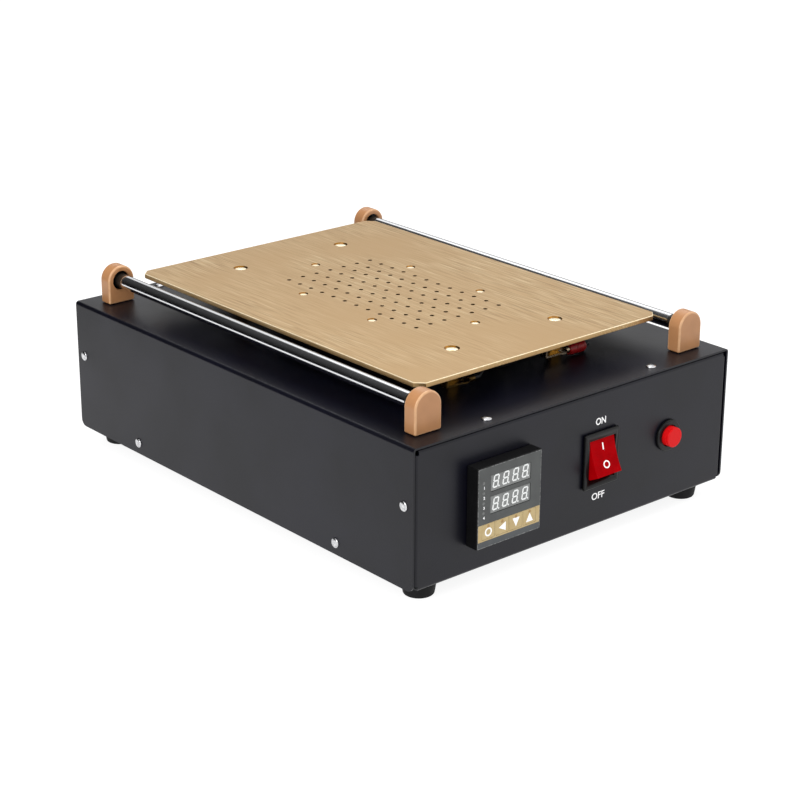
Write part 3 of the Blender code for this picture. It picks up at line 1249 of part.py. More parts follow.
def build_controller():
    """Panel instrument: case with its bezel, lens, fascia and four keys, and its panel clamp."""
    face, case = CONTROLLER_FACE, CONTROLLER_CASE
    bezel_depth = CONTROLLER_PROTRUSION - SEAT_GAP
    origin = (CONTROLLER_X, CONTROLLER_FRONT, CONTROLLER_Z)
    controller = add_object(
        "controller_case",
        box_mesh("controller_case", (face, bezel_depth, face), (0, bezel_depth / 2, 0)),
        DARK_PLASTIC,
        origin,
    )
    bevel(controller, CONTROLLER_EDGE)
    body_length = CONTROLLER_DEPTH + CONTROLLER_PROTRUSION - bezel_depth + EMBED
    body = box_mesh("controller_body", (case, body_length, case), (0, bezel_depth - EMBED + body_length / 2, 0))
    join(controller, add_helper("controller_body", body, origin))

    opening = face - 2 * FASCIA_MARGIN
    fascia_back = FASCIA_RECESS + FASCIA_THICKNESS
    seat = fascia_back + SEAT_GAP
    recess = box_mesh("fascia_recess", (opening, 2 * seat, opening))
    cut(controller, add_helper("fascia_recess", recess, origin))

    lens_back = seat + LENS_THICKNESS
    windows = ((UPPER_WINDOW_Z, UPPER_WINDOW_HEIGHT), (LOWER_WINDOW_Z, LOWER_WINDOW_HEIGHT))
    lens_top = UPPER_WINDOW_Z + UPPER_WINDOW_HEIGHT / 2 + LENS_BORDER
    lens_foot = LOWER_WINDOW_Z - LOWER_WINDOW_HEIGHT / 2 - LENS_BORDER
    lens_size = (WINDOW_WIDTH + 2 * LENS_BORDER, LENS_THICKNESS, lens_top - lens_foot)
    lens_z = (lens_top + lens_foot) / 2
    pocket_size = [side + 2 * SEAT_GAP for side in lens_size]
    pocket = box_mesh("lens_pocket", pocket_size, (WINDOW_OFFSET_X, seat + LENS_THICKNESS / 2, lens_z))
    cut(controller, add_helper("lens_pocket", pocket, origin))
    lens_mesh = box_mesh("display_lens", lens_size, (WINDOW_OFFSET_X, lens_back - LENS_THICKNESS / 2, lens_z))
    lens = add_object("display_lens", lens_mesh, SMOKED_LENS, origin)

    fascia_half = opening / 2 - SEAT_GAP
    fascia_holes = []
    for number, (window_z, window_height) in enumerate(windows):
        half_x, half_z = WINDOW_WIDTH / 2, window_height / 2
        corners = rectangle(half_x, half_z)
        fascia_holes.append([(x + WINDOW_OFFSET_X, z + window_z) for x, z in corners])
        pad_depth = lens_back - LENS_THICKNESS / 2 - FASCIA_RECESS
        pad_size = (WINDOW_WIDTH - 2 * SEAT_GAP, pad_depth, window_height - 2 * SEAT_GAP)
        name = f"lens_pad_{number}"
        pad = box_mesh(name, pad_size, (WINDOW_OFFSET_X, FASCIA_RECESS + pad_depth / 2, window_z))
        join(lens, add_helper(name, pad, origin))
    key_hole = rounded_rectangle(KEY_WIDTH / 2 + RUNNING_GAP, KEY_HEIGHT / 2 + RUNNING_GAP, KEY_EDGE, 2)
    for number in range(len(KEY_NAMES)):
        fascia_holes.append([(x + key_x(number), z + KEY_ROW_Z) for x, z in key_hole])
    fascia_edge = rectangle(fascia_half, fascia_half)
    fascia_mesh = outline_mesh("controller_fascia", fascia_edge, FASCIA_THICKNESS, fascia_holes)
    fascia_place = (CONTROLLER_X, CONTROLLER_FRONT + fascia_back, CONTROLLER_Z)
    add_object("controller_fascia", fascia_mesh, FASCIA_GREY, fascia_place, TO_FRONT)

    well_depth = FASCIA_RECESS - KEY_PROUD + KEY_DEPTH + KEY_TRAVEL + KEY_WELL_SPARE
    for number, key_name in enumerate(KEY_NAMES):
        name = "key_well_" + key_name
        size = (KEY_WIDTH + 2 * RUNNING_GAP, 2 * well_depth, KEY_HEIGHT + 2 * RUNNING_GAP)
        place = (CONTROLLER_X + key_x(number), CONTROLLER_FRONT, CONTROLLER_Z + KEY_ROW_Z)
        cut(controller, add_helper(name, box_mesh(name, size), place))
        key_outline = rounded_rectangle(KEY_WIDTH / 2, KEY_HEIGHT / 2, KEY_EDGE, 2)
        key_mesh = outline_mesh("controller_key_" + key_name, key_outline, KEY_DEPTH)
        key_y = CONTROLLER_FRONT + FASCIA_RECESS - KEY_PROUD + KEY_DEPTH
        key_place = (CONTROLLER_X + key_x(number), key_y, CONTROLLER_Z + KEY_ROW_Z)
        add_object("controller_key_" + key_name, key_mesh, KEY_GOLD, key_place, TO_FRONT)

    clamp_inner = case / 2 + SEAT_GAP
    ring = [rectangle(clamp_inner + CLAMP_WALL, clamp_inner + CLAMP_WALL)]
    hole = rectangle(clamp_inner, clamp_inner)
    clamp_mesh = outline_mesh("controller_clamp", ring[0], CLAMP_LENGTH, [hole])
    clamp_y = FRONT + SHEET + SEAT_GAP + CLAMP_LENGTH
    add_object("controller_clamp", clamp_mesh, DARK_PLASTIC, (CONTROLLER_X, clamp_y, CONTROLLER_Z), TO_FRONT)


def key_x(number):
    """Distance of a key from the controller's middle, to the right."""
    return KEY_ROW_X + (number - (len(KEY_NAMES) - 1) / 2) * KEY_PITCH


# Power rocker switch


def rocker_tip():
    """Where the rocker's upper front corner lies, as (height over the pivot, reach out of the panel)."""
    return ROCKER_HALF_HEIGHT, ROCKER_CREST + ROCKER_DISH_DEPTH


def rocker_well_size():
    """Width and height of the well that the rocker swings in."""
    return ROCKER_WIDTH + 2 * ROCKER_SIDE_GAP, 2 * (hypot(*rocker_tip()) + ROCKER_END_GAP)


def rocker_body_size():
    """Width and height of the housing behind the panel."""
    well_width, well_height = rocker_well_size()
    return well_width + 2 * ROCKER_WALL, well_height + ROCKER_WALL


def build_rocker_switch():
    """Snap-in switch housing and the rocker that tips in it, resting in its ON position."""
    throw = radians(ROCKER_THROW / 2)
    half_height, tip = rocker_tip()
    pressed_reach = tip * cos(throw) - half_height * sin(throw)
    pivot_y = ROCKER_BEZEL_FRONT + ROCKER_SINK + pressed_reach

    well_width, well_height = rocker_well_size()
    body_width, body_height = rocker_body_size()
    bezel_depth = ROCKER_BEZEL_PROUD - SEAT_GAP
    origin = (ROCKER_X, ROCKER_BEZEL_FRONT, ROCKER_Z)
    bezel = box_mesh(
        "rocker_housing", (ROCKER_BEZEL_WIDTH, bezel_depth, ROCKER_BEZEL_HEIGHT), (0, bezel_depth / 2, 0)
    )
    housing = add_object("rocker_housing", bezel, DARK_PLASTIC, origin)
    bevel(housing, ROCKER_BEZEL_EDGE)
    body_depth = ROCKER_BODY_DEPTH + EMBED
    body_middle = (0, bezel_depth - EMBED + body_depth / 2, 0)
    body = box_mesh("rocker_body", (body_width, body_depth, body_height), body_middle)
    join(housing, add_helper("rocker_body", body, origin))
    for number in (-1, 0, 1):
        name = f"rocker_tab_{number + 1}"
        width, length, thickness = TAB_SIZE
        rear = bezel_depth + ROCKER_BODY_DEPTH - EMBED
        tab = box_mesh(name, (width, length + EMBED, thickness), (0, rear + length / 2, number * TAB_SPACING))
        join(housing, add_helper(name, tab, origin))

    keel_reach = hypot(ROCKER_KEEL_DEPTH, ROCKER_KEEL_HALF)
    well_floor = pivot_y - ROCKER_BEZEL_FRONT + keel_reach + ROCKER_WELL_SPARE
    well = box_mesh("rocker_well", (well_width, 2 * well_floor, well_height))
    pin_length = ROCKER_WIDTH + 2 * ROCKER_PIN_LENGTH
    socket_length = pin_length + 2 * RUNNING_GAP
    socket_radius = ROCKER_PIN_RADIUS + RUNNING_GAP
    socket = round_mesh("rocker_pin_socket", socket_radius, socket_length, -socket_length / 2, SMALL_STEPS)
    cut(
        housing,
        add_helper("rocker_well", well, origin),
        add_helper("rocker_pin_socket", socket, (ROCKER_X, pivot_y, ROCKER_Z), (0, pi / 2, 0)),
    )

    dish = []
    for step in range(ROCKER_DISH_STEPS + 1):
        share = 1 - 2 * step / ROCKER_DISH_STEPS
        dish.append((share * half_height, ROCKER_CREST + ROCKER_DISH_DEPTH * share**2))
    shoulder_height = half_height + ROCKER_SIDE_DEPTH * tan(radians(ROCKER_FLARE))
    shoulder_reach = tip - ROCKER_SIDE_DEPTH
    keel = [(-ROCKER_KEEL_HALF, -ROCKER_KEEL_DEPTH), (ROCKER_KEEL_HALF, -ROCKER_KEEL_DEPTH)]
    outline = [*keel, (shoulder_height, shoulder_reach), *dish, (-shoulder_height, shoulder_reach)]
    mesh = outline_mesh("power_rocker", outline, ROCKER_WIDTH, start=-ROCKER_WIDTH / 2)
    upright = Matrix(((0, 0, 1, 0), (0, -1, 0, 0), (1, 0, 0, 0), (0, 0, 0, 1)))
    mesh.transform(upright)
    rocker = add_object("power_rocker", mesh, RED_PLASTIC, (ROCKER_X, pivot_y, ROCKER_Z), (-throw, 0, 0))
    pin = round_mesh("rocker_pin", ROCKER_PIN_RADIUS, pin_length, -pin_length / 2, SMALL_STEPS)
    join(rocker, add_helper("rocker_pin", pin, (ROCKER_X, pivot_y, ROCKER_Z), (0, pi / 2, 0)))


# Suction push-button


def build_push_button():
    """Round push-button: ring and threaded barrel, sliding cap and panel nut."""
    origin = (BUTTON_X, BUTTON_RING_FRONT, BUTTON_Z)
    well_radius = BUTTON_CAP_RADIUS + RUNNING_GAP
    inner_end = BUTTON_CAP_LENGTH - BUTTON_CAP_PROUD
    well_depth = inner_end + BUTTON_TRAVEL + BUTTON_WELL_SPARE
    ring_back = BUTTON_RING_PROUD - SEAT_GAP
    barrel_end = BUTTON_RING_PROUD + BUTTON_BARREL_LENGTH
    edge = BUTTON_RING_EDGE
    housing_profile = [
        (0.0, barrel_end),
        (BUTTON_BARREL_RADIUS, barrel_end),
        (BUTTON_BARREL_RADIUS, ring_back),
        (BUTTON_RING_RADIUS, ring_back),
        (BUTTON_RING_RADIUS, edge),
        (BUTTON_RING_RADIUS - edge, 0.0),
        (well_radius, 0.0),
        (well_radius, well_depth),
        (0.0, well_depth),
    ]
    turned_object("button_housing", housing_profile, DARK_PLASTIC, origin, TO_REAR)

    cap_edge, groove = BUTTON_CAP_EDGE, BUTTON_CAP_GROOVE
    radius, proud = BUTTON_CAP_RADIUS, BUTTON_CAP_PROUD
    cap_profile = [
        (0.0, inner_end),
        (radius, inner_end),
        (radius, 3 * cap_edge - proud),
        (radius - groove, 2.5 * cap_edge - proud),
        (radius, 2 * cap_edge - proud),
        (radius, cap_edge - proud),
        (radius - cap_edge, -proud),
        (0.0, -proud),
    ]
    turned_object("suction_button", cap_profile, RED_PLASTIC, origin, TO_REAR)

    nut = round_mesh("button_nut", BUTTON_NUT_RADIUS, BUTTON_NUT_THICKNESS, steps=6)
    nut_y = FRONT + SHEET + SEAT_GAP
    nut_object = add_object("button_nut", nut, DARK_PLASTIC, (BUTTON_X, nut_y, BUTTON_Z), TO_REAR)
    bore_length = 3 * BUTTON_NUT_THICKNESS
    bore = round_mesh("nut_bore", BUTTON_BARREL_RADIUS + SEAT_GAP, bore_length, -BUTTON_NUT_THICKNESS)
    cut(nut_object, add_helper("nut_bore", bore, (BUTTON_X, nut_y, BUTTON_Z), TO_REAR))


# Mains inlet


def inlet_hole():
    """Width and height of the rear panel's cut-out for the mains inlet."""
    return [side + 2 * (INLET_WALL + SEAT_GAP) for side in INLET_MOUTH]


def build_mains_inlet():
    """Three-pin appliance inlet: flange, keyed recess and flat pins."""
    width, height = INLET_MOUTH
    flange_half = [side / 2 for side in INLET_FLANGE_SIZE]
    flange = outline_mesh(
        "mains_inlet",
        rounded_rectangle(*flange_half, INLET_FLANGE_CORNER),
        INLET_FLANGE_THICKNESS,
    )
    origin = (INLET_X, INLET_FRONT, INLET_Z)
    inlet = add_object("mains_inlet", flange, DARK_PLASTIC, origin, TO_FRONT)
    body_depth = INLET_BODY_DEPTH + EMBED
    body_size = (width + 2 * INLET_WALL, body_depth, height + 2 * INLET_WALL)
    body_y = -INLET_FLANGE_THICKNESS + EMBED - body_depth / 2
    join(inlet, add_helper("inlet_body", box_mesh("inlet_body", body_size, (0, body_y, 0)), origin))

    key = INLET_MOUTH_CHAMFER
    half_x, half_z = width / 2, height / 2
    mouth = [(half_x, -half_z), (half_x, half_z - key), (half_x - key, half_z)]
    mouth += [(key - half_x, half_z), (-half_x, half_z - key), (-half_x, -half_z)]
    recess = outline_mesh("inlet_mouth", mouth, 2 * INLET_MOUTH_DEPTH, start=-INLET_MOUTH_DEPTH)
    cut(inlet, add_helper("inlet_mouth", recess, origin, TO_FRONT))

    pin_width, pin_height = INLET_PIN
    pin_length = INLET_MOUTH_DEPTH - INLET_PIN_SETBACK + EMBED
    pin_y = -INLET_PIN_SETBACK - pin_length / 2
    rear = body_y - body_depth / 2
    tab_width, tab_length, tab_thickness = TAB_SIZE
    places = ((-INLET_PIN_SPACING, INLET_PIN_DROP), (0.0, INLET_EARTH_RAISE), (INLET_PIN_SPACING, INLET_PIN_DROP))
    for number, (x, z) in enumerate(places):
        pin = box_mesh(f"inlet_pin_{number}", (pin_width, pin_length, pin_height), (x, pin_y, z))
        tab_size = (tab_thickness, tab_length + EMBED, tab_width)
        tab = box_mesh(f"inlet_tab_{number}", tab_size, (x, rear - (tab_length - EMBED) / 2, z))
        join(inlet, add_helper(f"inlet_pin_{number}", pin, origin))
        join(inlet, add_helper(f"inlet_tab_{number}", tab, origin))


def build_mains_lead():
    """Lead inside the box from the mains inlet to the power switch."""
    rear = INLET_FRONT - INLET_FLANGE_THICKNESS - INLET_BODY_DEPTH - TAB_SIZE[1] - SEAT_GAP
    switch = ROCKER_BEZEL_FRONT + ROCKER_BEZEL_PROUD + ROCKER_BODY_DEPTH + TAB_SIZE[1]
    start = Vector((INLET_X, rear, INLET_Z + INLET_EARTH_RAISE))
    aisle_x = BOARD_X + BOARD_SIZE[0] / 2 + LEAD_SPARE
    aisle_rear = BOARD_Y + BOARD_SIZE[1] / 2 - LEAD_SPARE
    relay_rear = RELAY_CENTRE[1] + RELAY_SIZE[1] / 2 + 2 * LEAD_SPARE
    relay_edge = RELAY_CENTRE[0] + RELAY_SIZE[0] / 2 + LEAD_SPARE
    relay_front = RELAY_CENTRE[1] - RELAY_SIZE[1] / 2
    end = Vector((ROCKER_X, switch, ROCKER_Z))
    stops = [
        start,
        start + Vector((0, -1.5, 0)) * LEAD_BEND,
        start + Vector((4, -3, -1.5)) * LEAD_BEND,
        Vector((aisle_x, aisle_rear, LEAD_FLOOR_Z)),
        Vector((aisle_x, relay_rear + 6 * LEAD_BEND, LEAD_FLOOR_Z)),
        Vector((RELAY_CENTRE[0], relay_rear, LEAD_FLOOR_Z)),
        Vector((relay_edge, relay_rear - LEAD_SPARE, LEAD_FLOOR_Z)),
        Vector((relay_edge + LEAD_BEND / 2, RELAY_CENTRE[1], LEAD_FLOOR_Z)),
        Vector((ROCKER_X + 2 * LEAD_BEND, (relay_front + switch) / 2, 2 * LEAD_FLOOR_Z)),
        end + Vector((0, 2, 0)) * LEAD_BEND,
        end,
    ]
    tube_object("mains_lead", smooth_route(stops), 2 * LEAD_RADIUS, BLACK_CABLE)


clear_scene()
PARTS = new_collection("screen_separator_machine")
CUTTERS = new_collection("cutters")
FRAME = bpy.data.objects.new("machine_frame", None)
FRAME.location = (0, FRAME_SHIFT, FOOT_HEIGHT)
PARTS.objects.link(FRAME)

BLACK_COAT = material("black_powder_coat", (0.055, 0.055, 0.062), 0.42)
RUBBER = material("black_rubber", (0.015, 0.015, 0.016), 0.75)
TAN_PLASTIC = material("tan_moulded_plastic", (0.52, 0.30, 0.15), 0.45)
CHROME = material("hard_chrome", (0.78, 0.78, 0.80), 0.12, 1.0)
STEEL = material("plated_steel", (0.56, 0.56, 0.57), 0.35, 1.0)
GOLD_ANODISED = material("gold_anodised_aluminium", (0.62, 0.45, 0.24), 0.35, 0.8)
ALUMINIUM = material("plain_aluminium", (0.72, 0.73, 0.74), 0.4, 1.0)
BRASS = material("brass", (0.75, 0.55, 0.22), 0.25, 1.0)
MICA = material("mica_laminate", (0.36, 0.27, 0.18), 0.7)
SILICONE = material("silicone_rubber", (0.62, 0.60, 0.56), 0.55)
RED_PLASTIC = material("red_plastic", (0.60, 0.01, 0.02), 0.3)
WHITE_CABLE = material("braided_glass_sheath", (0.75, 0.74, 0.70), 0.8)
BLACK_CABLE = material("black_cable_sheath", (0.02, 0.02, 0.02), 0.5)
DARK_PLASTIC = material("black_moulded_plastic", (0.02, 0.02, 0.022), 0.45)
BOARD_GREEN = material("green_circuit_board", (0.02, 0.18, 0.07), 0.5)
SMOKED_LENS = material("smoked_display_lens", (0.25, 0.25, 0.26), 0.2)
FASCIA_GREY = material("grey_printed_film", (0.09, 0.095, 0.10), 0.4)
KEY_GOLD = material("gold_printed_film", (0.60, 0.45, 0.22), 0.4)

build_base_tray()
build_top_cover()
build_feet()
build_rail_blocks()
build_rail_bearings()
build_rail_rods()
build_heating_plate()
build_plate_screws()
build_standoffs()
build_heater()
build_suction_chamber()
build_suction_fitting()
build_grommet("hose_grommet", HOSE_HOLE_RADIUS, (0, 0, COVER_TOP))
build_grommet("lead_grommet", LEAD_HOLE_RADIUS, (0, LEAD_HOLE_Y, COVER_TOP))
build_thermocouple()
build_lead_terminals()
build_pump()
build_power_supply()
build_relay()
build_controller()
build_rocker_switch()
build_push_button()
build_mains_inlet()
build_mains_lead()
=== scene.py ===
"""Looks of the screen separator machine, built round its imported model.

Units are metres and +Z is up. Sizes in the classes are measured in the machine's own frame, whose z = 0
is the underside of the box and whose origin is the middle of the box's footprint; MACHINE puts that
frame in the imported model's.
"""

import logging
from collections.abc import Callable, Iterator, Sequence
from dataclasses import dataclass
from enum import Enum
from functools import cache
from math import cos, hypot, pi, radians, sin
from typing import Any

import bmesh
import bpy
from mathutils import Matrix, Vector

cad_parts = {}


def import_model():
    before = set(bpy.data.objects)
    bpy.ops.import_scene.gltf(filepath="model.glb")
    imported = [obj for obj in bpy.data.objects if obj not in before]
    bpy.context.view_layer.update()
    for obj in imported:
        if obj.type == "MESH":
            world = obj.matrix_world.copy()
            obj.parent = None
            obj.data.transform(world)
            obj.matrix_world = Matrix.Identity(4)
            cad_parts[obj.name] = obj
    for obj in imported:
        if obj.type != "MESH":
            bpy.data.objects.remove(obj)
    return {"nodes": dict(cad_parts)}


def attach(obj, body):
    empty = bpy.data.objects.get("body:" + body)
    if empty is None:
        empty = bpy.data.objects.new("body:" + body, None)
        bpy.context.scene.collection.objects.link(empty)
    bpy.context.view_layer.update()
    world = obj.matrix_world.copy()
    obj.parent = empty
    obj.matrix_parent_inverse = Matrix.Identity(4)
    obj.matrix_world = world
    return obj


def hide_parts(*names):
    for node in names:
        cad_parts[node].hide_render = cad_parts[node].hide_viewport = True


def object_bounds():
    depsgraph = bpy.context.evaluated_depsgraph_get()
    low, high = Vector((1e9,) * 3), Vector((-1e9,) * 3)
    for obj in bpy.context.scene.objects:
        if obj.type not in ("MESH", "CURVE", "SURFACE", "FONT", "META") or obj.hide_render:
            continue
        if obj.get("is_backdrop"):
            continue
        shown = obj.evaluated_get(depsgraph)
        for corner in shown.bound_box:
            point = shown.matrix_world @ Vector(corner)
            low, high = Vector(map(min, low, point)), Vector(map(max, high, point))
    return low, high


LOG = logging.getLogger("scene")
MACHINE = Vector((0.0, 0.00305, 0.0107))
TO_FRONT = Matrix.Rotation(pi / 2, 4, "X")
TO_REAR = Matrix.Rotation(-pi / 2, 4, "X")
TO_RIGHT = Matrix.Rotation(pi / 2, 4, "Y")
WELD = 0.00001
FOLDED_ANGLE = 40.0  # degrees under which a folded or moulded piece's faces are shaded as one
ROUND_ANGLE = 50.0  # the same for tubes and other round pieces with few faces
SINK_FOOT, SINK_DEPTH = 0.4, 0.6  # a countersink's foot radius and depth, as shares of its top radius

Point = tuple[float, float]
Place = tuple[float, float, float]
Mesh = bpy.types.Mesh
Object = bpy.types.Object
Socket = bpy.types.NodeSocket
Tree = bpy.types.NodeTree

NODES: dict[str, Object] = {}


class Body(Enum):
    """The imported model's moving bodies."""

    CABINET = "cabinet"
    ROD_LEFT = "rod_left"
    ROD_RIGHT = "rod_right"
    ROCKER = "rocker"
    BUTTON = "button"
    KEY_SET = "key_set"
    KEY_SHIFT = "key_shift"
    KEY_DOWN = "key_down"
    KEY_UP = "key_up"


# Colour and nodes


def linear(code: str) -> tuple[float, float, float, float]:
    """Turn an sRGB hex value into a linear colour.

    Args:
        code: The value, such as "#c8a878".

    Returns:
        Red, green, blue and alpha.
    """
    shares = [int(code[i : i + 2], 16) / 255 for i in (1, 3, 5)]
    red, green, blue = (s / 12.92 if s <= 0.04045 else ((s + 0.055) / 1.055) ** 2.4 for s in shares)
    return red, green, blue, 1.0


def add_node(
    tree: Tree, kind: str, inputs: dict[str | int, Any] | None = None, **settings: Any
) -> bpy.types.Node:
    """Add a node with its settings, and feed its inputs.

    Args:
        tree: The node tree that takes the node.
        kind: The node's type name.
        inputs: A value, or the output socket that feeds it, for each input by name or number.
        **settings: The node's own properties.

    Returns:
        The new node.
    """
    node = tree.nodes.new(kind)
    for name, value in settings.items():
        setattr(node, name, value)
    for key, value in (inputs or {}).items():
        if isinstance(value, Socket):
            tree.links.new(value, node.inputs[key])
        else:
            node.inputs[key].default_value = value
    return node


class Texture(Enum):
    """Kinds of pattern that a grain can have, as (node type, its output, its scale for one spot per unit)."""

    SPOTS = ("ShaderNodeTexNoise", "Fac", 1.0)
    RIBS = ("ShaderNodeTexWave", "Fac", 0.314)
    FLAKES = ("ShaderNodeTexVoronoi", "Distance", 1.0)


@dataclass(frozen=True)
class Grain:
    """A pattern of a real size that tints, dulls and raises a surface.

    Attributes:
        spot: How wide one spot or rib is, in metres.
        tint: The colour the pattern turns to, or nothing where it leaves the colour alone.
        dulls: How much rougher the spots are.
        height: How far the spots stand up, in metres.
        detail: How many finer layers the noise has.
        low: The pattern's value below which it has no effect.
        high: The pattern's value above which it has its full effect.
        stretch: How many times as long the spots are along each axis.
        texture: Which pattern it is.
        turn: Rotation of the pattern about each axis.
    """

    spot: float
    tint: str | None = None
    dulls: float = 0.0
    height: float = 0.0
    detail: float = 2.0
    low: float = 0.35
    high: float = 0.65
    stretch: Place = (1.0, 1.0, 1.0)
    texture: Texture = Texture.SPOTS
    turn: Place = (0.0, 0.0, 0.0)

    def share(self, tree: Tree, place: Socket) -> Socket:
        """Build the pattern.

        Args:
            tree: The material's node tree.
            place: The socket that gives the place on the surface.

        Returns:
            The socket that gives the pattern from 0 to 1.
        """
        kind, output, scale = self.texture.value
        sizes = [self.spot * along for along in self.stretch]
        settings, scales = ("TEXTURE", sizes) if any(self.turn) else ("POINT", [1 / size for size in sizes])
        inputs = {"Vector": place, "Scale": scales, "Rotation": self.turn}
        mapping = add_node(tree, "ShaderNodeMapping", inputs, vector_type=settings)
        inputs = {"Vector": mapping.outputs[0], "Scale": scale}
        if self.texture is not Texture.FLAKES:
            inputs["Detail"] = self.detail if self.texture is Texture.SPOTS else 0.0
        pattern = add_node(tree, kind, inputs)
        span = {"Value": pattern.outputs[output], "From Min": self.low, "From Max": self.high}
        return add_node(tree, "ShaderNodeMapRange", span).outputs["Result"]


@dataclass(frozen=True)
class Finish:
    """A real material's surface.

    Attributes:
        name: The material's name.
        slot: The record's material slot that it belongs to; not used.
        colour: Its colour as an sRGB hex value.
        roughness: How dull it is.
        grains: The patterns on it, from the first to the last.
        metallic: 1 for bare metal, 0 for the rest.
        coat: How much clear coat lies on it.
        specular: How strongly it mirrors when it isn't metal.
        glow: How much light of its own colour it gives.
    """

    name: str
    slot: str
    colour: str
    roughness: float
    grains: tuple[Grain, ...]
    metallic: float = 0.0
    coat: float = 0.0
    specular: float = 0.5
    glow: float = 0.0

    @cache
    def material(self) -> bpy.types.Material:
        """Build the material the first time it is asked for.

        Returns:
            The material.
        """
        made = bpy.data.materials.new(self.name)
        made.use_nodes = True
        made.diffuse_color = linear(self.colour)
        tree = made.node_tree
        shader = tree.nodes["Principled BSDF"]
        for socket, value in (
            ("Base Color", linear(self.colour)),
            ("Roughness", self.roughness),
            ("Metallic", self.metallic),
            ("Coat Weight", self.coat),
            ("Coat Roughness", 0.08),
            ("Specular IOR Level", self.specular),
            ("Emission Color", linear(self.colour)),
            ("Emission Strength", self.glow),
        ):
            shader.inputs[socket].default_value = value
        place = add_node(tree, "ShaderNodeTexCoord").outputs["Object"]
        colour: Any = linear(self.colour)
        roughness: Any = self.roughness
        normal: Any = None
        for grain in self.grains:
            share = grain.share(tree, place)
            if grain.tint:
                blend = {"Factor": share, 6: colour, 7: linear(grain.tint)}
                colour = add_node(tree, "ShaderNodeMix", blend, data_type="RGBA").outputs[2]
                tree.links.new(colour, shader.inputs["Base Color"])
            if grain.dulls:
                sum_of = {0: share, 1: grain.dulls, 2: roughness}
                roughness = add_node(tree, "ShaderNodeMath", sum_of, operation="MULTIPLY_ADD").outputs[0]
                tree.links.new(roughness, shader.inputs["Roughness"])
            if grain.height:
                relief: dict[str | int, Any] = {"Height": share, "Distance": grain.height, "Strength": 1.0}
                if normal:
                    relief["Normal"] = normal
                normal = add_node(tree, "ShaderNodeBump", relief).outputs["Normal"]
                tree.links.new(normal, shader.inputs["Normal"])
        return made


# Finishes, each as (name, slot, colour, roughness, patterns)

# Epoxy powder coat on steel, baked: near-black satin whose fine orange peel breaks up what it mirrors.
# The real peel is about 0.3 mm across and is drawn at 0.9 mm, so that it shows.
ORANGE_PEEL = Grain(0.0009, "#0d0d1a", height=0.000012, detail=1.0)
UNEVEN_COAT = Grain(0.045, "#070711", 0.05, detail=3.0)
POWDER_COAT = Finish(
    "satin_black_powder_coat", "black_coat", "#080816", 0.34, (ORANGE_PEEL, UNEVEN_COAT), specular=0.31
)
# Brushed aluminium, gold anodised: long scratches along the plate, lighter and darker than each other.
# The real scratches are about 0.1 mm apart and are drawn at 0.5 mm, so that they show.
DARK_SCRATCHES = Grain(0.0005, "#8f7047", 0.08, 0.000006, low=0.44, high=0.74, stretch=(1.0, 60.0, 1.0))
PALE_SCRATCHES = Grain(0.0008, "#dcc499", detail=1.0, low=0.50, high=0.78, stretch=(1.0, 30.0, 1.0))
UNEVEN_DYE = Grain(0.070, "#bd9b6b", detail=1.0)
GOLD_PLATE = Finish(
    "brushed_gold_anodised_aluminium",
    "gold_plate",
    "#c5a474",
    0.34,
    (DARK_SCRATCHES, PALE_SCRATCHES, UNEVEN_DYE),
    metallic=0.85,
)
# The plate's edge, chamfered after anodising: bare metal, painted pale and made to glow as a painted highlight, so
# that it shows as a thin pale line.
PALE_SPOTS = (Grain(0.0020, "#e2cda2", 0.08),)
BARE_RIM_HIGHLIGHT = Finish("bright_cut_edge", "gold_plate", "#f0e2c2", 0.36, PALE_SPOTS, metallic=0.5, glow=0.22)
# The countersinks, turned and then anodised: painted a deeper gold, as painted shade where their cone looks into
# itself.
SINK_SHADE_SPOTS = (Grain(0.0010, "#8c5f22", 0.08),)
SHADED_SINK_GOLD = Finish("turned_gold_countersink", "gold_plate", "#a9782f", 0.24, SINK_SHADE_SPOTS, metallic=1.0)
# The drilled holes' walls in the plate: painted dark, as painted shade in their depth, so each hole shows as a brown
# dot.
SHADED_HOLE_GOLD = Finish(
    "drilled_gold_hole", "gold_plate", "#4f3816", 0.50, (Grain(0.0010, "#3c2a10"),), metallic=0.4
)
# Ground and hard-chromed steel: mirror bright, with faint rings left by the grinding wheel.
GRINDING_RINGS = Grain(0.0012, dulls=0.07, stretch=(20.0, 1.0, 20.0))
UNEVEN_GLOSS = Grain(0.030, dulls=0.05, detail=3.0)
CHROME = Finish("ground_hard_chrome", "chrome", "#d9dadd", 0.06, (GRINDING_RINGS, UNEVEN_GLOSS), metallic=1.0)
# The rods' ends, next to the bearings: steel painted dull dark grey, as painted shade next to the bearings.
ROD_END_SHADE_RINGS = (Grain(0.0010, "#3f3d3a", 0.10, stretch=(20.0, 1.0, 20.0)),)
SHADED_ROD_END = Finish("turned_steel_journal", "chrome", "#56544f", 0.38, ROD_END_SHADE_RINGS, metallic=1.0)
# Zinc-plated steel: cool grey metal with a cloudy, slightly uneven gloss.
ZINC_CLOUDS = (Grain(0.0030, "#a3a5a9", 0.12, detail=3.0),)
ZINC = Finish("zinc_plated_steel", "steel", "#b9babd", 0.30, ZINC_CLOUDS, metallic=1.0)
# Nickel-plated screw heads: bright silver with slight handling marks.
HANDLING_MARKS = (Grain(0.0012, "#b4b4b8", 0.12),)
SCREW_STEEL = Finish("nickel_plated_screw", "steel", "#dededf", 0.16, HANDLING_MARKS, metallic=1.0)
# The left terminal's brass: painted dark brown-gold and soft, as painted shade; the right terminal is its lit copy.
TERMINAL_SHADE_SPOTS = (Grain(0.0012, "#4a3a20", 0.12),)
SHADED_TERMINAL_BRASS = Finish("heat_dulled_brass", "brass", "#6f5730", 0.34, TERMINAL_SHADE_SPOTS, metallic=1.0)
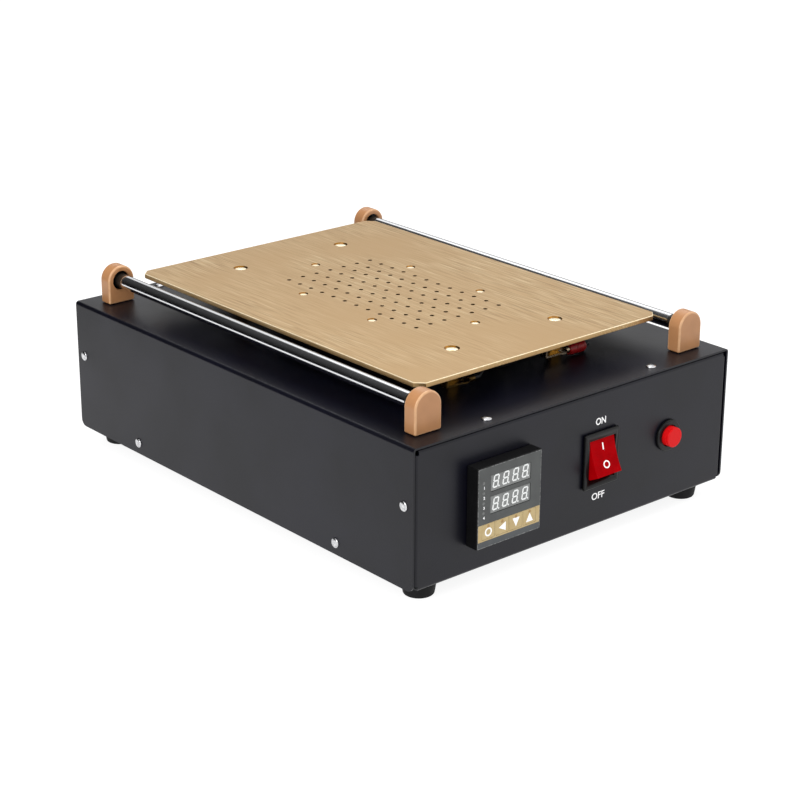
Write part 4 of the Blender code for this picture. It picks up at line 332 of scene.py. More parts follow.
# The right terminal's brass: painted pale silver with a warm tone, as a painted highlight; the left terminal is its
# shaded copy.
LIT_TERMINAL_BRASS = Finish("tinned_brass", "brass", "#d9c8b0", 0.20, (Grain(0.0010, "#a88f70", 0.12),), metallic=1.0)
# Turned brass: yellow metal with fine rings from the lathe.
BRASS = Finish("turned_brass", "brass", "#c9983f", 0.22, (Grain(0.0008, "#b07f2c", 0.12),), metallic=1.0)
# Polished, pale plated brass of the plate's screws: painted nearly white and made to glow, a painted highlight over
# what it mirrors of the room.
PALE_BRASS = Finish(
    "polished_plated_brass", "brass", "#fbf3dc", 0.14, (Grain(0.0010, "#ead6a4", 0.08),), metallic=0.9, glow=0.15
)
# Moulded plastic of the rod blocks: warm tan, satin, with the faint mottling of a moulded skin.
TAN_SKIN = (Grain(0.0007, height=0.000010, detail=1.0), Grain(0.0100, "#be885c", 0.06, detail=3.0))
TAN_PLASTIC = Finish("moulded_tan_plastic", "tan_plastic", "#c68e60", 0.36, TAN_SKIN, coat=0.10)
# The blocks' rounded edges, painted paler as a painted highlight.
EDGE_HIGHLIGHT_MOTTLING = (Grain(0.0040, "#d3a074", 0.06, detail=3.0),)
TAN_EDGE_HIGHLIGHT = Finish("burnished_tan_plastic", "tan_plastic", "#e2b183", 0.30, EDGE_HIGHLIGHT_MOTTLING, coat=0.10)
# Moulded ABS: black with a fine spark-eroded grain, which keeps its gloss soft.
SPARK_GRAIN = (Grain(0.0006, "#101011", height=0.000010, detail=1.0), Grain(0.012, dulls=0.08))
BLACK_PLASTIC = Finish("moulded_black_abs", "black_plastic", "#0a0a0b", 0.32, SPARK_GRAIN, specular=0.24)
# Black-oxide bearing steel: near-black metal with a soft, oily gloss.
BEARING_STEEL = Finish(
    "black_oxide_bearing_steel", "steel", "#1b1b1d", 0.34, (Grain(0.0020, "#262628", 0.10),), metallic=1.0
)
# Moulded polycarbonate rocker: deep, glossy red; the ribs inside show through as fainter bands. Its glow is painted
# light that brightens the red.
INNER_RIBS = Grain(0.0009, "#6a0003", low=0.2, high=0.9, texture=Texture.RIBS, turn=(0.0, pi / 2, 0.0))
RED_DEPTH = Grain(0.0060, "#880105", detail=1.0)
ROCKER_RED = Finish(
    "translucent_red_polycarbonate",
    "red_plastic",
    "#7d0004",
    0.16,
    (INNER_RIBS, RED_DEPTH),
    specular=0.02,
    glow=0.85,
)
# Moulded ABS push-button: bright red with a soft gloss; its glow is painted light that brightens the red.
RED_SKIN = (Grain(0.0008, "#d20e12", height=0.000008), Grain(0.006, dulls=0.06))
BUTTON_RED = Finish("moulded_red_abs", "red_plastic", "#de1216", 0.30, RED_SKIN, specular=0.14, glow=0.18)
# Soft vinyl sleeve over the terminal.
SLEEVE_RED = Finish("red_vinyl_sleeve", "brass", "#a80a10", 0.36, (Grain(0.0015, "#7c060a", 0.1),))
# Moulded nitrile rubber: matt black with a little dust in its skin.
RUBBER_SKIN = (Grain(0.0010, height=0.000020), Grain(0.0040, "#141415", 0.12, detail=3.0))
RUBBER = Finish("moulded_black_rubber", "rubber", "#0d0d0e", 0.62, RUBBER_SKIN, specular=0.22)
# Silicone rubber: milky, slightly waxy.
WAXY_CLOUDS = (Grain(0.0050, "#bdb7ab", 0.08),)
SILICONE = Finish("milky_silicone_rubber", "silicone", "#cfcac0", 0.45, WAXY_CLOUDS, coat=0.1)
# Pressed aluminium sheet: dull silver with faint rolling lines.
ROLLING_LINES = (Grain(0.0009, "#a9abb0", 0.12, 0.000008, stretch=(1.0, 14.0, 1.0)),)
ALUMINIUM = Finish("pressed_aluminium", "aluminium", "#c3c5c8", 0.34, ROLLING_LINES, metallic=1.0)
# Pressed mica laminate: brown with glittering paler flakes.
MICA_FLAKES = (Grain(0.0030, "#a98f6c", -0.15, low=0.1, high=0.7, texture=Texture.FLAKES),)
MICA = Finish("pressed_mica_laminate", "mica", "#8c7355", 0.55, MICA_FLAKES)
# Braided glass sheath: off-white yarns that cross, dull and slightly furry.
CROSSING_YARNS = tuple(
    Grain(0.0008, tint, height=0.00008, low=0.1, high=0.9, texture=Texture.RIBS, turn=turn)
    for tint, turn in (("#b9b4a4", (0.6, 0.6, 0.8)), ("#cbc6b8", (-0.6, 0.6, -0.8)))
)
GLASS_BRAID = Finish("braided_glass_sheath", "white_cable", "#ddd9cc", 0.75, CROSSING_YARNS)
# Extruded vinyl sheath: black, smooth, a little uneven in its gloss.
UNEVEN_VINYL = (Grain(0.0040, "#1f1f21", 0.12),)
VINYL_SHEATH = Finish("extruded_black_vinyl", "black_cable", "#151516", 0.40, UNEVEN_VINYL)
# Solder mask over copper tracks: green, glossy, the tracks a shade lighter.
TRACKS = (Grain(0.0026, "#1a6b42", detail=0.0, low=0.50, high=0.53, stretch=(1.0, 6.0, 1.0)),)
SOLDER_MASK = Finish("green_solder_mask", "board_green", "#0d4a2c", 0.32, TRACKS, coat=0.2)
# Acrylic display window: grey, with the display's pale reflector showing through.
DISPLAY_WINDOW = Finish(
    "smoked_acrylic_window", "display_lens", "#8b8d8c", 0.16, (Grain(0.0060, "#7b7d7c", 0.08),), coat=0.3
)
# Polyester overlay of the instrument: printed dark grey, fine velvet surface.
VELVET = Grain(0.0005, height=0.000006)
OVERLAY_FILM = Finish(
    "printed_grey_polyester", "fascia_film", "#4c4f4e", 0.34, (VELVET, Grain(0.009, "#454747", 0.08))
)
# The overlay's thin rim: a painted highlight, pale grey and broken unevenly.
BROKEN_RIM_HIGHLIGHT = (Grain(0.0011, "#4c4f4e", detail=3.0, low=0.40, high=0.60),)
OVERLAY_RIM_HIGHLIGHT = Finish("cut_polyester_edge", "fascia_film", "#8e8f8f", 0.45, BROKEN_RIM_HIGHLIGHT)
# The overlay's lower strip, a shade lighter.
STRIP_FILM = Finish(
    "printed_slate_polyester", "fascia_film", "#4d5154", 0.34, (VELVET, Grain(0.006, "#474b4e", 0.08))
)
# Overlay film over the keys: printed matt gold.
KEY_FILM = Finish("printed_gold_polyester", "key_film", "#d4bc88", 0.38, (VELVET, Grain(0.004, "#cdb37e", 0.06)))
# Dimple that an embossed key has: the same gold, a shade darker.
KEY_DIMPLE = Finish("embossed_gold_polyester", "key_film", "#b8935a", 0.34, (Grain(0.001, "#ad8850", 0.06),))
# Screen-printed ink: flat white, a little thin in places; its glow is painted light that keeps it white.
THIN_INK = (Grain(0.0007, "#f0f0f0", 0.1),)
WHITE_INK = Finish("screen_printed_white_ink", "black_coat", "#ffffff", 0.50, THIN_INK, glow=0.30)
# Diffuser of a display segment: clean white that glows faintly.
DIFFUSER = (Grain(0.0010, "#e6e9e8"),)
SEGMENT = Finish("white_display_segment", "display_lens", "#f2f4f3", 0.40, DIFFUSER, glow=0.22)
# Unlit indicator: a grey spot under the film.
LAMP_CLOUDS = (Grain(0.0010, "#636564"),)
UNLIT_LAMP = Finish("unlit_indicator", "fascia_film", "#6f7170", 0.30, LAMP_CLOUDS, coat=0.3)


# Meshes


def at(x: float, y: float, z: float) -> Vector:
    """Give a place in the machine's frame, in metres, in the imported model's frame."""
    return Vector((x, y, z)) + MACHINE


def arc(centre: Point, radius: float, start: float, end: float, steps: int) -> list[Point]:
    """List the points of an arc.

    Args:
        centre: The arc's centre.
        radius: The arc's radius.
        start: Where it starts, in degrees.
        end: Where it ends, in degrees.
        steps: How many straight pieces it has.

    Returns:
        The points, both ends included.
    """
    turns = [radians(start + (end - start) * i / steps) for i in range(steps + 1)]
    return [(centre[0] + radius * cos(t), centre[1] + radius * sin(t)) for t in turns]


def rounded_box(half_x: float, half_z: float, radius: float, steps: int = 4) -> list[Point]:
    """List the points of a rectangle with round corners, anticlockwise from its lower right.

    Args:
        half_x: Half its width.
        half_z: Half its height.
        radius: Its corners' radius.
        steps: How many straight pieces a corner has.

    Returns:
        The points as (x, z).
    """
    points: list[Point] = []
    for sign_x, sign_z, start in ((1, -1, -90), (1, 1, 0), (-1, 1, 90), (-1, -1, 180)):
        centre = (sign_x * (half_x - radius), sign_z * (half_z - radius))
        points += arc(centre, radius, start, start + 90, steps)
    return points


def add_object(name: str, data: bpy.types.ID) -> Object:
    """Make an object of its data and link it to the scene.

    Args:
        name: The object's name.
        data: Its mesh, curve, light or camera.

    Returns:
        The object.
    """
    made = bpy.data.objects.new(name, data)
    bpy.context.scene.collection.objects.link(made)
    return made


def as_mesh(name: str, shape: bmesh.types.BMesh) -> Mesh:
    """Turn a shape into a mesh.

    Args:
        name: The mesh's name.
        shape: The shape, which is used up.

    Returns:
        The mesh.
    """
    mesh = bpy.data.meshes.new(name)
    shape.to_mesh(mesh)
    shape.free()
    return mesh


def finished(name: str, shape: bmesh.types.BMesh) -> Mesh:
    """Weld a shape's doubles, point its faces outwards and turn it into a mesh.

    Args:
        name: The mesh's name.
        shape: The shape, which is used up.

    Returns:
        The mesh.
    """
    bmesh.ops.remove_doubles(shape, verts=shape.verts, dist=WELD / 10)
    bmesh.ops.recalc_face_normals(shape, faces=shape.faces)
    return as_mesh(name, shape)


def lathe(name: str, profile: Sequence[Point], steps: int = 48) -> Mesh:
    """Turn a profile about Z.

    Args:
        name: The mesh's name.
        profile: Its points as (radius, height), in order.
        steps: How many faces go round.

    Returns:
        The closed mesh.
    """
    shape = bmesh.new()
    rings = []
    for radius, height in profile:
        turns = [2 * pi * i / steps for i in range(steps if radius else 1)]
        rings.append([shape.verts.new((radius * cos(t), radius * sin(t), height)) for t in turns])
    for first, second in zip(rings, rings[1:]):
        for i in range(steps):
            following = i + 1
            corners = [first[i % len(first)], first[following % len(first)]]
            corners += [second[following % len(second)], second[i % len(second)]]
            unlike = list(dict.fromkeys(corners))
            if len(unlike) > 2:
                shape.faces.new(unlike)
    return finished(name, shape)


def slab(name: str, outline: Sequence[Point], depth: float, holes: Sequence[Sequence[Point]] = ()) -> Mesh:
    """Give an outline in X and Z a depth along +Y.

    Args:
        name: The mesh's name.
        outline: The outline's points as (x, z).
        depth: How thick the slab is; its front lies at y = 0.
        holes: Outlines of the holes through it.

    Returns:
        The closed mesh.
    """
    shape = bmesh.new()
    for y in (0.0, depth):
        edges = []
        for loop in (outline, *holes):
            corners = [shape.verts.new((x, y, z)) for x, z in loop]
            edges += [shape.edges.new((a, b)) for a, b in zip(corners, corners[1:] + corners[:1])]
        if holes:
            bmesh.ops.triangle_fill(shape, use_beauty=True, edges=edges)
        else:
            bmesh.ops.contextual_create(shape, geom=edges)
    for loop in (outline, *holes):
        front = [shape.verts.new((x, 0.0, z)) for x, z in loop]
        back = [shape.verts.new((x, depth, z)) for x, z in loop]
        for i in range(len(loop)):
            following = (i + 1) % len(loop)
            shape.faces.new((front[i], front[following], back[following], back[i]))
    return finished(name, shape)


def settle(shape: Object) -> Object:
    """Turn what an object's modifiers make into its own plain mesh.

    Args:
        shape: The object, whose modifiers are removed.

    Returns:
        The same object.
    """
    bpy.context.view_layer.update()
    graph = bpy.context.evaluated_depsgraph_get()
    mesh = bpy.data.meshes.new_from_object(shape.evaluated_get(graph), depsgraph=graph)
    shape.modifiers.clear()
    mesh.name = shape.name
    shape.data = mesh
    return shape


def shaded(shape: Object, smooth: float = 35.0) -> Object:
    """Shade an object's round faces as one and keep its flat faces flat.

    Args:
        shape: The object.
        smooth: Angle in degrees under which neighbouring faces are shaded as one.

    Returns:
        The same object.
    """
    shape.data.shade_smooth()
    shape.data.set_sharp_from_angle(angle=radians(smooth))
    level = shape.modifiers.new("flat_faces_stay_flat", "WEIGHTED_NORMAL")
    level.keep_sharp = True
    return settle(shape)


def make(
    name: str, mesh: Mesh, finish: Finish, edge: float = 0.0, segments: int = 2, smooth: float = 35.0
) -> Object:
    """Make an object of a mesh, ease its edges and smooth its round faces.

    Args:
        name: The piece's name.
        mesh: Its mesh, already in place.
        finish: What it is made of.
        edge: Radius of its eased edges, or 0 to leave them.
        segments: How many faces an eased edge has.
        smooth: Angle in degrees under which neighbouring faces are shaded as one.

    Returns:
        The object, without modifiers.
    """
    shape = add_object(name, mesh)
    mesh.materials.clear()
    mesh.materials.append(finish.material())
    if edge:
        eased = shape.modifiers.new("eased_edges", "BEVEL")
        eased.width = edge
        eased.segments = segments
        eased.limit_method = "ANGLE"
        eased.angle_limit = radians(smooth)
        settle(shape)
    return shaded(shape, smooth)


def welded(node: str) -> Mesh:
    """Copy a CAD node's mesh and weld its triangles into larger faces.

    Args:
        node: The CAD node's name.

    Returns:
        The mesh.
    """
    shape = bmesh.new()
    shape.from_mesh(NODES[node].data)
    bmesh.ops.remove_doubles(shape, verts=shape.verts, dist=WELD)
    bmesh.ops.dissolve_limit(shape, angle_limit=radians(0.5), verts=shape.verts, edges=shape.edges)
    return as_mesh(node, shape)


def moved(mesh: Mesh, place: Vector, turn: Matrix | None = None) -> Mesh:
    """Turn a mesh and put it in its place, in its own points."""
    mesh.transform(Matrix.Translation(place) @ (turn or Matrix.Identity(4)))
    return mesh


def merged(name: str, meshes: Sequence[Mesh]) -> Mesh:
    """Join meshes into one.

    Args:
        name: The new mesh's name.
        meshes: The meshes, already in place.

    Returns:
        The mesh.
    """
    shape = bmesh.new()
    for mesh in meshes:
        shape.from_mesh(mesh)
    return as_mesh(name, shape)


def lettering(name: str, words: str, height: float, thickness: float, weight: float = 0.0) -> Mesh:
    """Make raised words that face the front, centred on the origin.

    Args:
        name: The mesh's name.
        words: What they say.
        height: How tall the capitals are.
        thickness: How far they stand up.
        weight: How much bolder than the plain face, as a share of the height.

    Returns:
        The mesh.
    """
    curve = bpy.data.curves.new(name, "FONT")
    curve.body = words
    curve.extrude = thickness / 2 / height
    curve.offset = weight
    holder = add_object(name, curve)
    bpy.context.view_layer.update()
    graph = bpy.context.evaluated_depsgraph_get()
    mesh = bpy.data.meshes.new_from_object(holder.evaluated_get(graph), depsgraph=graph)
    bpy.data.objects.remove(holder)
    corners = [vertex.co.copy() for vertex in mesh.vertices]
    low = Vector([min(corner[i] for corner in corners) for i in range(3)])
    high = Vector([max(corner[i] for corner in corners) for i in range(3)])
    scale = height / (high.y - low.y)
    mesh.transform(TO_FRONT @ Matrix.Scale(scale, 4) @ Matrix.Translation(-(low + high) / 2))
    return mesh


def carved(shape: Object, cutter: Mesh) -> Object:
    """Cut a mesh out of an object.

    Args:
        shape: The object that is cut.
        cutter: The mesh that is taken out of it.

    Returns:
        The same object.
    """
    tool = add_object("cutter", cutter)
    cut = shape.modifiers.new("cut", "BOOLEAN")
    cut.object = tool
    cut.solver = "EXACT"
    settle(shape)
    bpy.data.objects.remove(tool)
    return shape


def paint(shape: Object, finish: Finish, test: Callable[[bpy.types.MeshPolygon], bool]) -> None:
    """Give an object's faces that pass a test a finish of their own.

    Args:
        shape: The object.
        finish: The finish.
        test: Tells whether a face gets it.
    """
    shape.data.materials.append(finish.material())
    number = len(shape.data.materials) - 1
    for face in shape.data.polygons:
        if test(face):
            face.material_index = number


# Geometry Nodes trees


def new_tree(name: str, sockets: dict[str, str]) -> tuple[Tree, bpy.types.NodeOutputs]:
    """Start a geometry tree, whose first input is the geometry and whose last is the material.

    Args:
        name: The tree's name.
        sockets: The kind of each input between those two, by its name.

    Returns:
        The tree and the sockets that give its inputs.
    """
    tree = bpy.data.node_groups.new(name, "GeometryNodeTree")
    tree.interface.new_socket("Geometry", in_out="OUTPUT", socket_type="NodeSocketGeometry")
    for socket, kind in {"Geometry": "Geometry", **sockets, "Material": "Material"}.items():
        tree.interface.new_socket(socket, in_out="INPUT", socket_type=f"NodeSocket{kind}")
    return tree, add_node(tree, "NodeGroupInput").outputs


def end_tree(tree: Tree, given: bpy.types.NodeOutputs, geometry: Socket) -> None:
    """End a tree in Realize Instances, Set Material and its output.

    Args:
        tree: The geometry tree.
        given: Its inputs.
        geometry: The socket that gives its result.
    """
    real = add_node(tree, "GeometryNodeRealizeInstances", {"Geometry": geometry})
    finish = {"Geometry": real.outputs[0], "Material": given["Material"]}
    dressed = add_node(tree, "GeometryNodeSetMaterial", finish)
    add_node(tree, "NodeGroupOutput", {"Geometry": dressed.outputs[0]})


def grow(shape: Object, tree: Tree, values: dict[str, Any]) -> Object:
    """Run a geometry tree on an object and keep the result as its plain mesh.

    Args:
        shape: The object whose mesh feeds the tree.
        tree: The tree.
        values: The tree's inputs by name.

    Returns:
        The same object.
    """
    modifier = shape.modifiers.new(tree.name, "NODES")
    modifier.node_group = tree
    for item in tree.interface.items_tree:
        if item.in_out == "INPUT" and item.name in values:
            modifier[item.identifier] = values[item.name]
    return settle(shape)


def instances(
    tree: Tree, points: Socket, copy: Socket, **how: Socket
) -> Socket:
    """Set a copy on each point, turned or scaled as the other sockets say."""
    return add_node(tree, "GeometryNodeInstanceOnPoints", {"Points": points, "Instance": copy, **how}).outputs[0]


def grid_points(tree: Tree, given: bpy.types.NodeOutputs) -> Socket:
    """Build a flat grid of points, centred on the origin.

    Args:
        tree: The geometry tree.
        given: Its inputs, with Columns, Rows and Pitch.

    Returns:
        The socket that gives the points.
    """
    sizes: dict[str | int, Any] = {}
    for count, side in (("Columns", "X"), ("Rows", "Y")):
        less = add_node(tree, "ShaderNodeMath", {0: given[count], 1: 1.0}, operation="SUBTRACT").outputs[0]
        span = add_node(tree, "ShaderNodeMath", {0: less, 1: given["Pitch"]}, operation="MULTIPLY").outputs[0]
        sizes.update({f"Size {side}": span, f"Vertices {side}": given[count]})
    return add_node(tree, "GeometryNodeMeshGrid", sizes).outputs[0]


@cache
def copies_tree() -> Tree:
    """Build the tree that sets a copy of an object on each point, turned to the point's own direction.

    The points carry a vector "facing" and a number "spin", the turn about that direction.

    Returns:
        The tree.
    """
    tree, given = new_tree("copies_on_places", {"Copy": "Object"})
    facing = add_node(tree, "GeometryNodeInputNamedAttribute", {"Name": "facing"}, data_type="FLOAT_VECTOR")
    spin = add_node(tree, "GeometryNodeInputNamedAttribute", {"Name": "spin"}, data_type="FLOAT")
    about = {"Axis": (0.0, 0.0, 1.0), "Angle": spin.outputs["Attribute"]}
    spun = add_node(tree, "FunctionNodeAxisAngleToRotation", about)
    towards = {"Rotation": spun.outputs[0], "Vector": facing.outputs["Attribute"]}
    turned = add_node(tree, "FunctionNodeAlignRotationToVector", towards, axis="Z")
    copy = add_node(tree, "GeometryNodeObjectInfo", {"Object": given["Copy"]}).outputs["Geometry"]
    end_tree(tree, given, instances(tree, given["Geometry"], copy, Rotation=turned.outputs[0]))
    return tree


@cache
def grid_tree() -> Tree:
    """Build the tree that repeats its input over an upright grid centred on the origin.

    Returns:
        The tree.
    """
    tree, given = new_tree("copies_on_grid", {"Columns": "Int", "Rows": "Int", "Pitch": "Float"})
    grid = {"Geometry": grid_points(tree, given), "Rotation": (pi / 2, 0.0, 0.0)}
    upright_grid = add_node(tree, "GeometryNodeTransform", grid).outputs[0]
    end_tree(tree, given, instances(tree, upright_grid, given["Geometry"]))
    return tree


@cache
def perforated_tree() -> Tree:
    """Build the tree of a plate with a grid of holes and a countersink at each input point.

    The points carry a number "head", the countersink's radius at the plate's top.

    Returns:
        The tree.
    """
    sizes = dict.fromkeys(("Width", "Length", "Thickness", "Corner", "Hole Radius", "Pitch"), "Float")
    tree, given = new_tree("perforated_plate", {**sizes, "Columns": "Int", "Rows": "Int"})
    sides = {"Width": given["Width"], "Height": given["Length"]}
    sheet = add_node(tree, "GeometryNodeCurvePrimitiveQuadrilateral", sides)
    corners = {"Curve": sheet.outputs[0], "Radius": given["Corner"], "Count": 1, "Limit Radius": False}
    outline = add_node(tree, "GeometryNodeFilletCurve", corners, mode="POLY")
    ring = add_node(tree, "GeometryNodeCurvePrimitiveCircle", {"Resolution": 20, "Radius": given["Hole Radius"]})
    drilled = instances(tree, grid_points(tree, given), ring.outputs[0])
    real = add_node(tree, "GeometryNodeRealizeInstances", {"Geometry": drilled})
    loops = add_node(tree, "GeometryNodeJoinGeometry")
    tree.links.new(outline.outputs[0], loops.inputs[0])
    tree.links.new(real.outputs[0], loops.inputs[0])
    face = add_node(tree, "GeometryNodeFillCurve", {"Curve": loops.outputs[0]})
    rise = {"Offset": (0.0, 0.0, 1.0), "Offset Scale": given["Thickness"], "Individual": False}
    body = add_node(tree, "GeometryNodeExtrudeMesh", {"Mesh": face.outputs[0], **rise})
    under = add_node(tree, "GeometryNodeFlipFaces", {"Mesh": face.outputs[0]})
    both = add_node(tree, "GeometryNodeJoinGeometry")
    tree.links.new(body.outputs[0], both.inputs[0])
    tree.links.new(under.outputs[0], both.inputs[0])
    closed = add_node(tree, "GeometryNodeMergeByDistance", {"Geometry": both.outputs[0], "Distance": WELD / 10})
    sink = {"Vertices": 32, "Radius Top": 1.0, "Radius Bottom": SINK_FOOT, "Depth": SINK_DEPTH}
    cone = add_node(tree, "GeometryNodeMeshCone", sink).outputs["Mesh"]
    head = add_node(tree, "GeometryNodeInputNamedAttribute", {"Name": "head"}, data_type="FLOAT")
    cones = instances(tree, given["Geometry"], cone, Scale=head.outputs["Attribute"])
    solid = add_node(tree, "GeometryNodeRealizeInstances", {"Geometry": cones})
    body_of = {"Mesh 1": closed.outputs[0]}
    cut = add_node(tree, "GeometryNodeMeshBoolean", body_of, operation="DIFFERENCE", solver="EXACT")
    tree.links.new(solid.outputs[0], cut.inputs["Mesh 2"])
    end_tree(tree, given, cut.outputs["Mesh"])
    return tree


@dataclass(frozen=True)
class Spot:
    """A place for one copy: where, which way it faces, and its turn about that way."""

    place: Vector
    facing: Place = (0.0, 0.0, 1.0)
    spin: float = 0.0


def points_mesh(name: str, places: Sequence[Vector], numbers: dict[str, Sequence[Any]]) -> Mesh:
    """Make a mesh of loose points that carry attributes.

    Args:
        name: The mesh's name.
        places: Where the points are.
        numbers: A number or a vector for each point, by attribute name.

    Returns:
        The mesh.
    """
    mesh = bpy.data.meshes.new(name)
    mesh.from_pydata([tuple(place) for place in places], [], [])
    for attribute, values in numbers.items():
        is_vector = not isinstance(values[0], float)
        kind = "FLOAT_VECTOR" if is_vector else "FLOAT"
        layer = mesh.attributes.new(attribute, kind, "POINT")
        for item, value in zip(layer.data, values):
            if is_vector:
                item.vector = value
            else:
                item.value = value
    return mesh


def copies(name: str, pattern: Object, spots: Sequence[Spot], finish: Finish) -> Object:
    """Set copies of an object on places, as one piece.

    Args:
        name: The piece's name.
        pattern: The object that is copied, which is removed.
        spots: Where the copies go.
        finish: What they are made of.

    Returns:
        The piece.
    """
    numbers = {"facing": [spot.facing for spot in spots], "spin": [float(spot.spin) for spot in spots]}
    piece = add_object(name, points_mesh(name, [spot.place for spot in spots], numbers))
    grow(piece, copies_tree(), {"Copy": pattern, "Material": finish.material()})
    bpy.data.objects.remove(pattern)
    return piece


def repeated(mesh: Mesh, counts: tuple[int, int], pitch: float, finish: Finish) -> Mesh:
    """Repeat a mesh over an upright grid centred on the origin.

    Args:
        mesh: The mesh that is repeated.
        counts: How many columns and rows there are.
        pitch: Distance between neighbours.
        finish: What they are made of.

    Returns:
        The copies as one mesh.
    """
    holder = add_object("pattern", mesh)
    sizes = {"Columns": counts[0], "Rows": counts[1], "Pitch": pitch, "Material": finish.material()}
    grown = grow(holder, grid_tree(), sizes).data
    bpy.data.objects.remove(holder)
    return grown


# Pieces


@dataclass(frozen=True)
class Piece:
    """A finished object, its finish, its body and the CAD nodes it stands for."""

    shape: Object
    finish: Finish
    body: Body = Body.CABINET
    stands_for: tuple[str, ...] = ()

    def hand_over(self) -> None:
        """Give the piece to its body and report it."""
        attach(self.shape, self.body.value)
        if self.stands_for:
            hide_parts(*self.stands_for)
        LOG.info("%s: %s on %s", self.shape.name, self.finish.name, self.body.value)


def of_mesh(
    name: str, mesh: Mesh, finish: Finish, body: Body = Body.CABINET, nodes: tuple[str, ...] = (), **ease: Any
) -> Piece:
    """Make a piece of a mesh that is in its place, eased as make takes it."""
    return Piece(make(name, mesh, finish, **ease), finish, body, nodes)


def of_node(node: str, name: str, finish: Finish, body: Body = Body.CABINET, **ease: Any) -> Piece:
    """Make a piece of the CAD node that it stands for, eased as make takes it."""
    return of_mesh(name, welded(node), finish, body, (node,), **ease)

def dress(nodes: Sequence[str], finish: Finish) -> None:
    """Give CAD nodes whose shape stays a finish.

    Args:
        nodes: Their names.
        finish: What they are made of.
    """
    for name in nodes:
        node = NODES[name]
        if not node.material_slots:
            node.data.materials.append(finish.material())
        for slot in node.material_slots:
            slot.material = finish.material()
        LOG.info("%s: %s", name, finish.name)


def corner_names(stem: str) -> tuple[str, ...]:
    """Name a node at each of the machine's four corners."""
    return tuple(f"{stem}_{end}_{side}" for end in ("front", "rear") for side in ("left", "right"))


def four_corners(x: float, y: float) -> list[Point]:
    """List the places mirrored about both middles, in the order of corner_names."""
    return [(-x, -y), (x, -y), (-x, y), (x, y)]


@dataclass(frozen=True)
class ScrewHead:
    """A screw head with a cross recess, seen from outside.

    Attributes:
        radius: The head's radius.
        dome: How far the middle stands over the surface.
        rim: How high its edge is.
        arm: Half the length of the cross.
        slot: Width of the cross's slots.
        depth: How deep the cross goes.
        foot: The underside's radius as a share of the head's.
    """

    radius: float
    dome: float
    rim: float
    arm: float
    slot: float
    depth: float
    foot: float = 0.96

    def build(self, name: str, finish: Finish) -> Object:
        """Build the head, which faces +Z and stands on z = 0.

        Args:
            name: The object's name.
            finish: What it is made of.

        Returns:
            The object.
        """
        profile = [(0.0, 0.0), (self.radius * self.foot, 0.0)]
        if self.foot > 0.9:
            profile.append((self.radius, self.rim * 0.3))
        rise = self.dome - self.rim
        for step in range(6):
            share = step / 5
            profile.append((self.radius * cos(share * pi / 2), self.rim + rise * sin(share * pi / 2)))
        profile[-1] = (0.0, self.dome)
        head = make(name, lathe(name, profile, 24), finish)
        arms = []
        for turn in (0.0, pi / 2):
            bar = slab("bar", rounded_box(self.arm, self.slot / 2, self.slot * 0.2, 1), 2 * self.depth)
            upright = Matrix.Rotation(turn, 4, "Z") @ TO_REAR
            arms.append(moved(bar, Vector((0.0, 0.0, self.dome - self.depth)), upright))
        for arm in arms:
            carved(head, arm)
        return shaded(head)


@dataclass(frozen=True)
class Cabinet:
    """The folded steel box, its screws and the words at its switch."""

    side_screws: tuple[Point, ...] = ((0.1565, 0.0493), (0.098, 0.0073))
    top_screw: Point = (0.0655, 0.1564)
    half_width: float = 0.125
    front: float = -0.164
    top: float = 0.0843
    screw: ScrewHead = ScrewHead(0.0030, 0.0013, 0.0005, 0.0020, 0.0009, 0.0009)
    word_height: float = 0.0042
    word_weight: float = 0.012
    ink: float = 0.00008
    ink_lift: float = 0.00003
    words: tuple[tuple[str, float, float, float], ...] = (
        ("ON", 0.0170, 0.0650, 0.92),
        ("OFF", 0.0170, 0.0187, 1.04),
    )

    def pieces(self) -> Iterator[Piece]:
        """Build the box's two shells, its screws and its words.

        Returns:
            The pieces, one after the other.
        """
        for node, name in (("top_cover", "cover_shell"), ("base_tray", "tray_shell")):
            yield of_node(node, name, POWDER_COAT, smooth=FOLDED_ANGLE)
        spots = []
        for sign in (-1, 1):
            for y, z in self.side_screws:
                for end in (-1, 1):
                    place = at(sign * self.half_width, end * y, z)
                    spots.append(Spot(place, (sign, 0.0, 0.0), 0.4 * end + y * 9))
        for x, y in four_corners(*self.top_screw):
            spots.append(Spot(at(x, y, self.top), spin=0.5 + x * 9))
        head = self.screw.build("screw_head", SCREW_STEEL)
        yield Piece(copies("cover_screws", head, spots, SCREW_STEEL), SCREW_STEEL)
        for word, x, z, width in self.words:
            mesh = lettering("word", word, self.word_height, self.ink, self.word_weight)
            mesh.transform(Matrix.Diagonal((width, 1.0, 1.0, 1.0)))
            moved(mesh, at(x, self.front - self.ink_lift, z))
            yield of_mesh(f"printed_{word.lower()}", mesh, WHITE_INK)


@dataclass(frozen=True)
class Feet:
    """Four tapered rubber feet with sunk screw seats."""

    height: float = 0.0107
    top_radius: float = 0.0104
    sole_radius: float = 0.0090
    edge: float = 0.0014
    recess_radius: float = 0.0048
    recess_depth: float = 0.0070
    place: Point = (0.1065, 0.148)

    def pieces(self) -> Iterator[Piece]:
        """Build the feet as one piece.

        Returns:
            The pieces, one after the other.
        """
        sole = -self.height
        profile = [(0.0, -0.0003), (self.top_radius - 0.0004, -0.0003), (self.top_radius, -0.0008)]
        profile += arc((self.sole_radius - self.edge, sole + self.edge), self.edge, 0, -90, 4)
        profile += [(self.recess_radius + 0.0003, sole), (self.recess_radius, sole + 0.0003)]
        profile += [(self.recess_radius, sole + self.recess_depth), (0.0, sole + self.recess_depth)]
        foot = make("foot_pattern", lathe("foot_pattern", profile), RUBBER)
        spots = [Spot(at(x, y, 0.0)) for x, y in four_corners(*self.place)]
        yield Piece(copies("rubber_feet", foot, spots, RUBBER), RUBBER, stands_for=corner_names("foot"))


